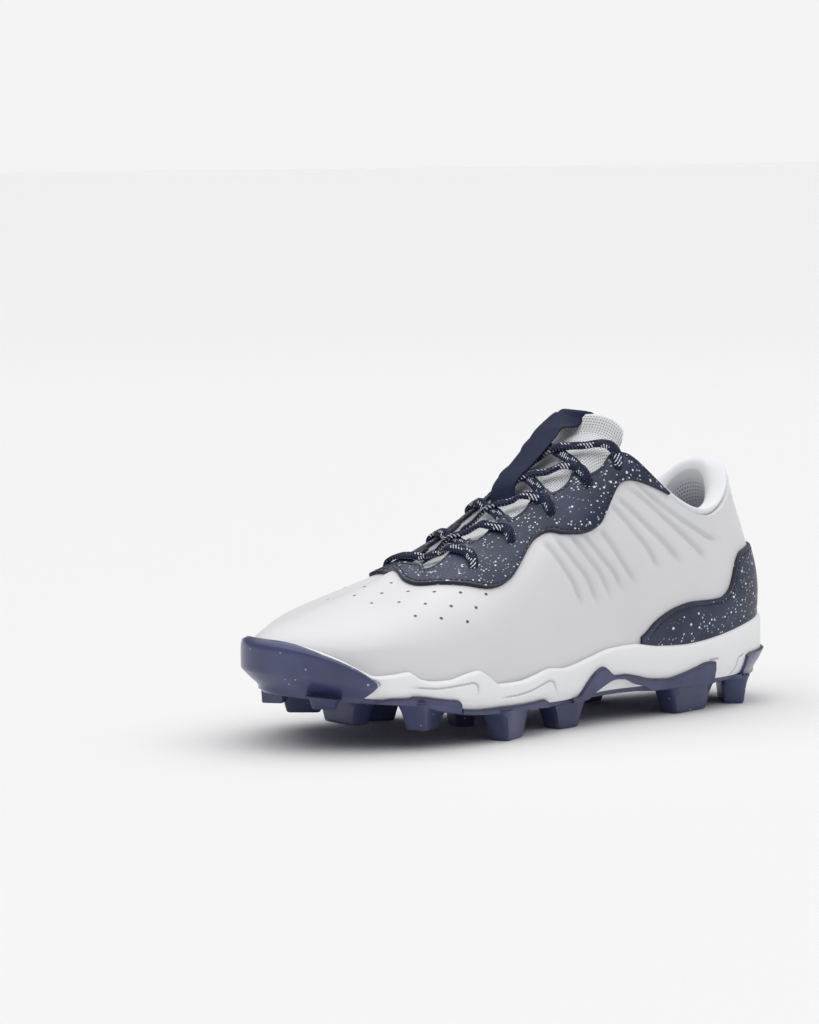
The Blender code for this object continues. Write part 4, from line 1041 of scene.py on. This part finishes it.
# The foam cup and its side, with moulded lines placed by station and share of the rim height
foamLook = {"columns": 1300, "sideRows": 34, "grooveDepth": 0.00055, "grooveWidth": 0.00055}
foamLines = [
    [(0.811, 0.643), (0.798, 0.659), (0.778, 0.630), (0.764, 0.606), (0.744, 0.610), (0.726, 0.627),
     (0.709, 0.645), (0.696, 0.650), (0.690, 0.600), (0.688, 0.500), (0.688, 0.420),
     (0.692, 0.355), (0.700, 0.300)],
    [(0.654, 0.202), (0.635, 0.245), (0.610, 0.260), (0.588, 0.290), (0.567, 0.351), (0.549, 0.421),
     (0.536, 0.462), (0.528, 0.430), (0.524, 0.340), (0.519, 0.183), (0.513, 0.030)],
    [(0.857, 0.870), (0.849, 0.832), (0.844, 0.770), (0.847, 0.700)],
    [(0.190, 0.440), (0.176, 0.455), (0.164, 0.463)],
    [(0.100, 0.540), (0.106, 0.470), (0.118, 0.390), (0.121, 0.184), (0.129, 0.040), (0.144, -0.020)],
]


# Middle of the sole beside each column
def spine(u, heightAt):
    at = station(u)
    middle = 0.06 + 0.866 * at
    outer = wideLine(turnAt(at, 1))[:, 0]
    inner = wideLine(turnAt(at, -1))[:, 0]
    return np.stack([(outer + inner) / 2, body["length"] / 2 - middle * body["length"], heightAt(middle)], -1)


# A line round the sole: the widest line moved out, at the height given for its place
def floorLine(u, out, heightAt):
    line = wideLine(u) + outward(u) * np.broadcast_to(out, u.shape)[:, None]
    line[:, 2] = heightAt(0.5 - line[:, 1] / body["length"])
    return line


# Columns once round the shoe, closer at the tight turns of heel and toe
def roundColumns(count):
    trial = np.linspace(0, body["turn"], 8001)
    run = np.concatenate([[0], np.cumsum(np.linalg.norm(np.diff(wideLine(trial), axis=0), axis=1))])
    return np.interp(np.arange(count) / count * run[-1], run, trial)


# Rings from the bed's middle out to the wall, up inside, over the lip, down the side and in below
def makeMidsole():
    u = roundColumns(foamLook["columns"])
    at = station(u)
    high, under = rimHeight(at), underHeight(at)
    middle, corner = spine(u, bedHeight), wall(u, 0.0) + outward(u) * body["gap"]
    corner[:, 2] = bedHeight(0.5 - corner[:, 1] / body["length"])
    topShare = shareAtHeight(u, high - 0.0006)
    inner = [skin(u, topShare * share, np.full(len(u), body["gap"])) for share in (0.25, 0.5, 0.75, 1.0)]
    lip = np.array([(0.0000, 0.15), (-0.0001, 0.45), (-0.0004, 0.78), (-0.0009, 0.96)])
    rows = [beside(u, high + drop, body["gap"] + (foamOut(u, high + drop) - body["gap"]) * share)
            for drop, share in lip]
    fall = np.linspace(0, 1, foamLook["sideRows"])
    side = []
    for share in fall:
        height = under + 0.0007 + (high - 0.0014 - under - 0.0007) * (1 - share)
        side.append(beside(u, height, foamOut(u, height)))
    lowEdge = [floorLine(u, foamOut(u, under) - back, lambda x, lift=lift: underHeight(x) + lift)
               for back, lift in ((0.0001, 0.0003), (0.0006, 0.0))]
    low = spine(u, underHeight)
    sideGrid = np.stack(rows + side, 1)
    paths = []
    for line in foamLines:
        for way in (1, -1):
            path = thread(np.array(line) * [1, 0.08], 60) / [1, 0.08]
            turn = turnAt(path[:, 0], way)
            height = foamBase + body["rimHeight"] * path[:, 1]
            paths.append(beside(turn, height, foamOut(turn, height)))
    sunk = grooves(sideGrid, paths, 1.0, foamLook["grooveWidth"])
    normal = unit(np.cross(np.gradient(sideGrid, axis=1), np.gradient(sideGrid, axis=0)))
    facing = np.sign(np.sum(normal * outward(u)[:, None], -1, keepdims=True))
    sideGrid = sideGrid - normal * facing * (sunk * foamLook["grooveDepth"])[..., None]
    bed = [middle + (corner - middle) * share for share in (0, 0.25, 0.5, 0.75, 1)]
    base = [lowEdge[-1] + (low - lowEdge[-1]) * share for share in (0.3, 0.65, 1)]
    grid = np.concatenate([np.stack(bed + inner, 1), sideGrid, np.stack(lowEdge + base, 1)], 1)
    # Groove depth at each side point, which sets the painted shade in the grooves
    mark = np.zeros(grid.shape[:2])
    mark[:, 9:9 + sideGrid.shape[1]] = sunk
    assemble("midsole_foam", [shellOf(grid, True, False, groove=mark)], foam, ["midsole"], 60)


insoleLook = {"columns": 420, "thick": 0.0035}


# Rings over the foam's bed inside the upper, with a softened rim
def makeInsole():
    u = roundColumns(insoleLook["columns"])
    line = wall(u, 0.0) - outward(u) * (body["upperWall"] + body["gap"])
    line[:, 2] = bedHeight(0.5 - line[:, 1] / body["length"]) + body["gap"]
    middle = spine(u, bedHeight) + np.array([0.0, 0.0, body["gap"]])
    up = np.array([0.0, 0.0, insoleLook["thick"]])
    above = [middle + (line - middle) * share + up for share in (0, 0.2, 0.4, 0.6, 0.8, 0.97)]
    below = [middle + (line - middle) * share for share in (1, 0.5, 0)]
    grid = np.stack(above + [line + up * 0.8] + below, 1)
    shell = shellOf(grid, True, False, along=grid[..., 1] + 0.5, across=grid[..., 0] + 0.5,
                    mesh=np.ones(grid.shape[:2]))
    assemble("insole_liner", [shell], liningMesh, ["insole"])


# The rubber: plate, waves up the foam's side, bumper and studs.  up: share of the rim height.
waves = {
    "waist": table("at up low", [
        (0.176, 0.05, -0.20), (0.1785, 0.42, -0.20), (0.192, 0.43, -0.20), (0.219, 0.335, -0.20),
        (0.249, 0.215, -0.20), (0.275, 0.150, -0.20), (0.305, 0.180, -0.12), (0.318, 0.210, 0.00),
        (0.342, 0.300, 0.10), (0.369, 0.370, 0.25), (0.388, 0.370, 0.27), (0.397, 0.430, 0.25),
        (0.406, 0.540, 0.20), (0.415, 0.600, 0.14), (0.425, 0.560, 0.06), (0.436, 0.470, -0.02),
        (0.450, 0.300, -0.15), (0.459, 0.130, -0.20), (0.465, 0.00, -0.20), (0.480, -0.050, -0.20)]),
    "ball": table("at up", [
        (0.536, -0.030), (0.542, 0.030), (0.552, 0.073), (0.573, 0.050), (0.601, 0.035), (0.642, 0.050),
        (0.676, 0.055), (0.700, 0.075), (0.716, 0.110)]),
    "fore": table("at up", [
        (0.719, 0.200), (0.722, 0.270), (0.729, 0.330), (0.741, 0.352), (0.761, 0.402), (0.781, 0.455),
        (0.798, 0.475), (0.806, 0.440), (0.824, 0.440), (0.840, 0.416), (0.850, 0.38)]),
    "heel": table("at up", [(0.000, 0.53), (0.030, 0.525), (0.060, 0.515), (0.090, 0.49), (0.100, 0.44)]),
}
bumper = table("at up low", [
    (0.848, 0.80, 0.72), (0.856, 0.92, 0.58), (0.868, 1.06, 0.38), (0.888, 1.24, 0.00), (0.908, 1.40, -0.20),
    (0.925, 1.50, -0.20), (0.940, 1.57, -0.20), (0.951, 1.60, -0.20), (0.960, 1.61, -0.20),
])
rubberLook = {"wall": 0.0018, "bumperWall": 0.0026, "levels": 22, "round": 0.0007, "columns": 700,
              "inset": 0.0025, "reach": 0.62, "soften": 0.0007, "rim": 0.0010}
# Studs.  across: share of the ball width.  turn: degrees from the long axis.
# long, wide: shares of the tip's sides.  up: tip above the ground, share of the stud height.
studs = table("at across turn long wide up spread", [
    (0.892, -0.132, -50, 0.60, 1.05, 1.40, 0.1), (0.882, 0.195, 50, 1.00, 1.10, 1.49, 1.3),
    (0.785, -0.345, -38, 0.95, 1.00, 0.64, 1.0), (0.805, 0.050, 90, 1.30, 1.00, 0.64, 1.0),
    (0.757, 0.405, 30, 0.95, 1.00, 0.66, 1.3), (0.640, -0.370, -25, 0.95, 1.00, 0.00, 1.0),
    (0.575, 0.000, 70, 0.75, 0.90, 0.00, 1.0), (0.607, 0.437, 26, 0.95, 1.00, 0.00, 1.12),
    (0.480, -0.245, -10, 0.95, 1.00, 0.00, 1.0), (0.470, 0.328, 8, 0.80, 1.00, 0.00, 1.0),
    (0.270, -0.225, 8, 1.20, 1.00, 0.00, 1.0), (0.208, 0.280, 12, 1.45, 1.00, 0.00, 1.1),
    (0.075, -0.170, -52, 1.10, 1.00, 0.00, 1.0), (0.075, 0.170, 56, 1.45, 1.00, 0.00, 1.0),
])
studLook = {"long": 0.0150, "wide": 0.0090, "flare": 0.0062, "sides": 64, "square": 14.0, "round": 0.0006,
            "grow": 1.05}


# A band of rubber up the foam's side between two heights, its edges rounded; dark sets how much painted shade
# its top edge carries
def sideBand(u, high, low, thick, dark=1.0):
    at = station(u)
    under = underHeight(at)
    rows = np.linspace(0, 1, rubberLook["levels"])
    outside, inside = [], []
    for share in rows:
        height = low + (high - low) * share
        inset = np.minimum(high - height, height - low + 0.001)
        curve = np.sqrt(np.clip(1 - (1 - np.clip(inset / rubberLook["round"], 0, 1))**2, 0, 1))
        base = foamOut(u, np.maximum(height, under))
        outside.append(beside(u, height, base + body["gap"] + (thick - body["gap"]) * (0.35 + 0.65 * curve)))
        inside.append(beside(u, height, base + body["gap"] * 0.5))
    # Painted shade along the top edge: the rim mark fades within about a millimetre of it
    fromRim = np.stack([(high - low) * (1 - share) / rubberLook["rim"] for share in rows], 1)
    near = np.exp(-fromRim**2) * dark
    grid = np.stack(outside + inside[::-1], 1)
    return shellOf(grid, False, True, rim=np.concatenate([near, 0 * near], 1))


# A wave up one side: a band from the plate, or from its own lower edge, to its waved top
def sideWave(rows, side, count):
    at = np.linspace(rows["at"][0], rows["at"][-1], count)
    u = turnAt(at, side)
    under = underHeight(at)
    high = foamBase + body["rimHeight"] * smooth(rows["at"], rows["up"], at)
    low = under - body["gap"] - 0.65 * body["plateWall"]
    if "low" in rows:
        low = np.maximum(low, foamBase + body["rimHeight"] * smooth(rows["at"], rows["low"], at))
    return sideBand(u, np.maximum(high, low + 0.0006), low, rubberLook["wall"])


# A stud: rounded oblongs from its root, which spreads like a fillet, down to its flat tip
def studShell(index):
    row = {name: column[index] for name, column in studs.items()}
    centre = np.array([row["across"] * body["ballWidth"], body["length"] / 2 - row["at"] * body["length"]])
    turn = np.radians(row["turn"])
    along = np.array([np.sin(turn), -np.cos(turn)])
    aside = np.array([np.cos(turn), np.sin(turn)])
    angle = np.linspace(0, 2 * np.pi, studLook["sides"], endpoint=False)
    angle = angle - 0.22 * np.sin(4 * angle)
    reach = (np.abs(np.cos(angle))**studLook["square"]
             + np.abs(np.sin(angle))**studLook["square"])**(-1 / studLook["square"])
    x, y = reach * np.cos(angle), reach * np.sin(angle)
    tip = row["up"] * body["studHeight"]
    rings = []
    for share in np.concatenate([[-1, 0, 0.02, 0.05], np.linspace(0.1, 1, 18)]):
        back = {-1: 0.5, 0: 1.0, 0.02: 0.35, 0.05: 0.08}.get(float(share), 0.0) * studLook["round"]
        climb = max(share, 0)
        spread = studLook["flare"] * row["spread"] * (0.62 * climb + 0.38 * climb**5)
        halfLong = studLook["grow"] * studLook["long"] * row["long"] / 2 + spread - back
        halfWide = studLook["grow"] * studLook["wide"] * row["wide"] / 2 + spread * 0.34 - back
        if share < 0:
            halfLong, halfWide = halfLong * 0.8, halfWide * 0.8
        flat = centre + (x * halfLong)[:, None] * along + (y * halfWide)[:, None] * aside
        root = underHeight(0.5 - flat[:, 1] / body["length"]) - body["gap"] - 0.3 * body["plateWall"]
        rings.append(np.concatenate([flat, (tip + (root - tip) * climb)[:, None]], 1))
    return shellOf(np.array(rings), False, True)


# Plate as rings from its middle, waves on both sides, heel band, toe bumper and studs
def makeOutsole():
    u = roundColumns(rubberLook["columns"])
    at = station(u)
    share = smooth(edge["at"], edge["out"], at)
    out = foamOut(u, underHeight(at)) - rubberLook["inset"] * (1 - share)
    out = out + (body["gap"] + rubberLook["reach"] * rubberLook["wall"]) * share
    levels = [body["gap"], body["gap"] + body["plateWall"]]
    topEdge, lowEdge = (floorLine(u, out, lambda x, d=d: underHeight(x) - d) for d in levels)
    highSpine, lowSpine = (spine(u, lambda x, d=d: underHeight(x) - d) for d in levels)
    soft = floorLine(u, out - rubberLook["soften"], lambda x: underHeight(x) - levels[1])
    lowEdge[:, 2] += 0.0006
    grid = [highSpine, (highSpine + topEdge) / 2, topEdge, lowEdge, soft]
    grid += [soft + (lowSpine - soft) * k for k in (0.25, 0.5, 0.75, 1)]
    shells = [shellOf(np.stack(grid, 1), True, False)]
    for side in (1, -1):
        shells += [sideWave(waves["waist"], side, 260), sideWave(waves["ball"], side, 120),
                   sideWave(waves["fore"], side, 120)]
    heelEnd = turnAt(waves["heel"]["at"][-1], 1)
    heel = np.linspace(-heelEnd, heelEnd, 160)
    at = station(heel)
    high = foamBase + body["rimHeight"] * smooth(waves["heel"]["at"], waves["heel"]["up"], at)
    low = underHeight(at) - body["gap"] - 0.65 * body["plateWall"]
    shells.append(sideBand(heel, high, low, rubberLook["wall"]))
    toe = np.linspace(turnAt(bumper["at"][0], 1), turnAt(bumper["at"][0], -1), 320)
    at = station(toe)
    high = foamBase + body["rimHeight"] * smooth(bumper["at"], bumper["up"], at)
    low = foamBase + body["rimHeight"] * smooth(bumper["at"], bumper["low"], at)
    low = np.maximum(low, underHeight(at) - body["gap"] - 0.65 * body["plateWall"])
    shells.append(sideBand(toe, np.maximum(high, low + 0.0008), low, rubberLook["bumperWall"], 0.0))
    shells += [studShell(index) for index in range(len(studs["at"]))]
    assemble("outsole_rubber", shells, rubber, ["outsole"], 60)


makeUpper()
makeEyestay()
makeCounter()
makeCollar()
makeTongue()
makeLaces()
makeStrap()
makeMidsole()
makeInsole()
makeOutsole()
print("pieces made")

# Camera at the photograph's angle, turned so that the aim falls on its own pixel
camera = {"azimuth": 50.5, "elevation": 6.8, "distance": 1.910, "focal": 4217.0, "aim": (0.0, 0.0, 0.055),
          "pixel": (499.5, 600.0), "frame": (819, 1024)}


# The axis to the frame's middle: the aim's direction turned by its offset from the middle in pixels
def makeCamera():
    a, e = np.radians(camera["azimuth"]), np.radians(camera["elevation"])
    back = np.array([np.sin(a) * np.cos(e), -np.cos(a) * np.cos(e), np.sin(e)])
    right = np.array([np.cos(a), np.sin(a), 0])
    up = np.cross(back, right)
    middle = np.array(camera["frame"]) / 2
    axis = (-back * camera["focal"] - right * (camera["pixel"][0] - middle[0])
            + up * (camera["pixel"][1] - middle[1]))
    axis = unit(axis)
    side = unit(np.cross(axis, [0, 0, 1]))
    over = np.cross(side, axis)
    place = np.array(camera["aim"]) + back * camera["distance"] + np.array(body["shift"])
    obj = bpy.data.objects.new("camera", bpy.data.cameras.new("camera"))
    bpy.context.scene.collection.objects.link(obj)
    obj.matrix_world = Matrix([[side[k], over[k], -axis[k], place[k]] for k in range(3)] + [[0, 0, 0, 1]])
    obj.data.sensor_width = 36
    obj.data.lens = camera["focal"] / max(camera["frame"]) * 36
    obj.data.clip_end = 30
    bpy.context.scene.camera = obj


# Floor, soft lights and pale surroundings; each lamp has its name, place, size and power
light = {"horizon": 0.90, "low": 0.20, "zenith": 1.54, "floor": (0.835, 0.835, 0.837), "floorReach": 12.0,
         "lamps": [("key", (0.6, -1.8, 2.3), 1.2, 2.2), ("side", (1.9, 0.9, 1.5), 1.2, 2.6),
                   ("back", (-1.4, 1.6, 1.8), 1.2, 1.5)]}


# World light by height: bright at the horizon, dim above it, brightest overhead
def makeStudio():
    mesh = bpy.data.meshes.new("floor")
    far = light["floorReach"]
    mesh.from_pydata([(-far, -far, 0), (far, -far, 0), (far, far, 0), (-far, far, 0)], [], [(0, 1, 2, 3)])
    floor = bpy.data.objects.new("floor", mesh)
    bpy.context.scene.collection.objects.link(floor)
    paint = Paint("floor_paint", 0.9, Specular_IOR_Level=0.1)
    mesh.materials.append(paint.done(paint.mix(paint.noise(2.0) * 0.1, light["floor"], (0.88, 0.88, 0.885))))
    for name, place, size, power in light["lamps"]:
        lamp = bpy.data.objects.new(name, bpy.data.lights.new(name, "AREA"))
        lamp.data.size = size
        lamp.data.energy = power
        lamp.location = place
        way = unit(np.array(place) - np.array([0, 0, 0.05]))
        side = unit(np.cross([0, 0, 1.0], way))
        over = np.cross(way, side)
        lamp.matrix_world = Matrix([[side[k], over[k], way[k], place[k]] for k in range(3)] + [[0, 0, 0, 1]])
        bpy.context.scene.collection.objects.link(lamp)
    world = bpy.data.worlds.new("studio")
    world.use_nodes = True
    tree = world.node_tree
    split = tree.nodes.new("ShaderNodeSeparateXYZ")
    tree.links.new(tree.nodes.new("ShaderNodeTexCoord").outputs["Generated"], split.inputs[0])
    height = Wire(tree, split.outputs["Z"])
    strength = (light["horizon"] + height.step(0.04, 0.13) * (light["low"] - light["horizon"])
                + height.step(0.45, 0.75) * (light["zenith"] - light["low"]))
    feed(tree, tree.nodes["Background"].inputs["Strength"], strength)
    tree.nodes["Background"].inputs["Color"].default_value = (1.0, 1.0, 1.0, 1.0)
    bpy.context.scene.world = world
    bpy.context.scene.view_settings.view_transform = "Standard"


makeCamera()
makeStudio()
print("camera and lights set")
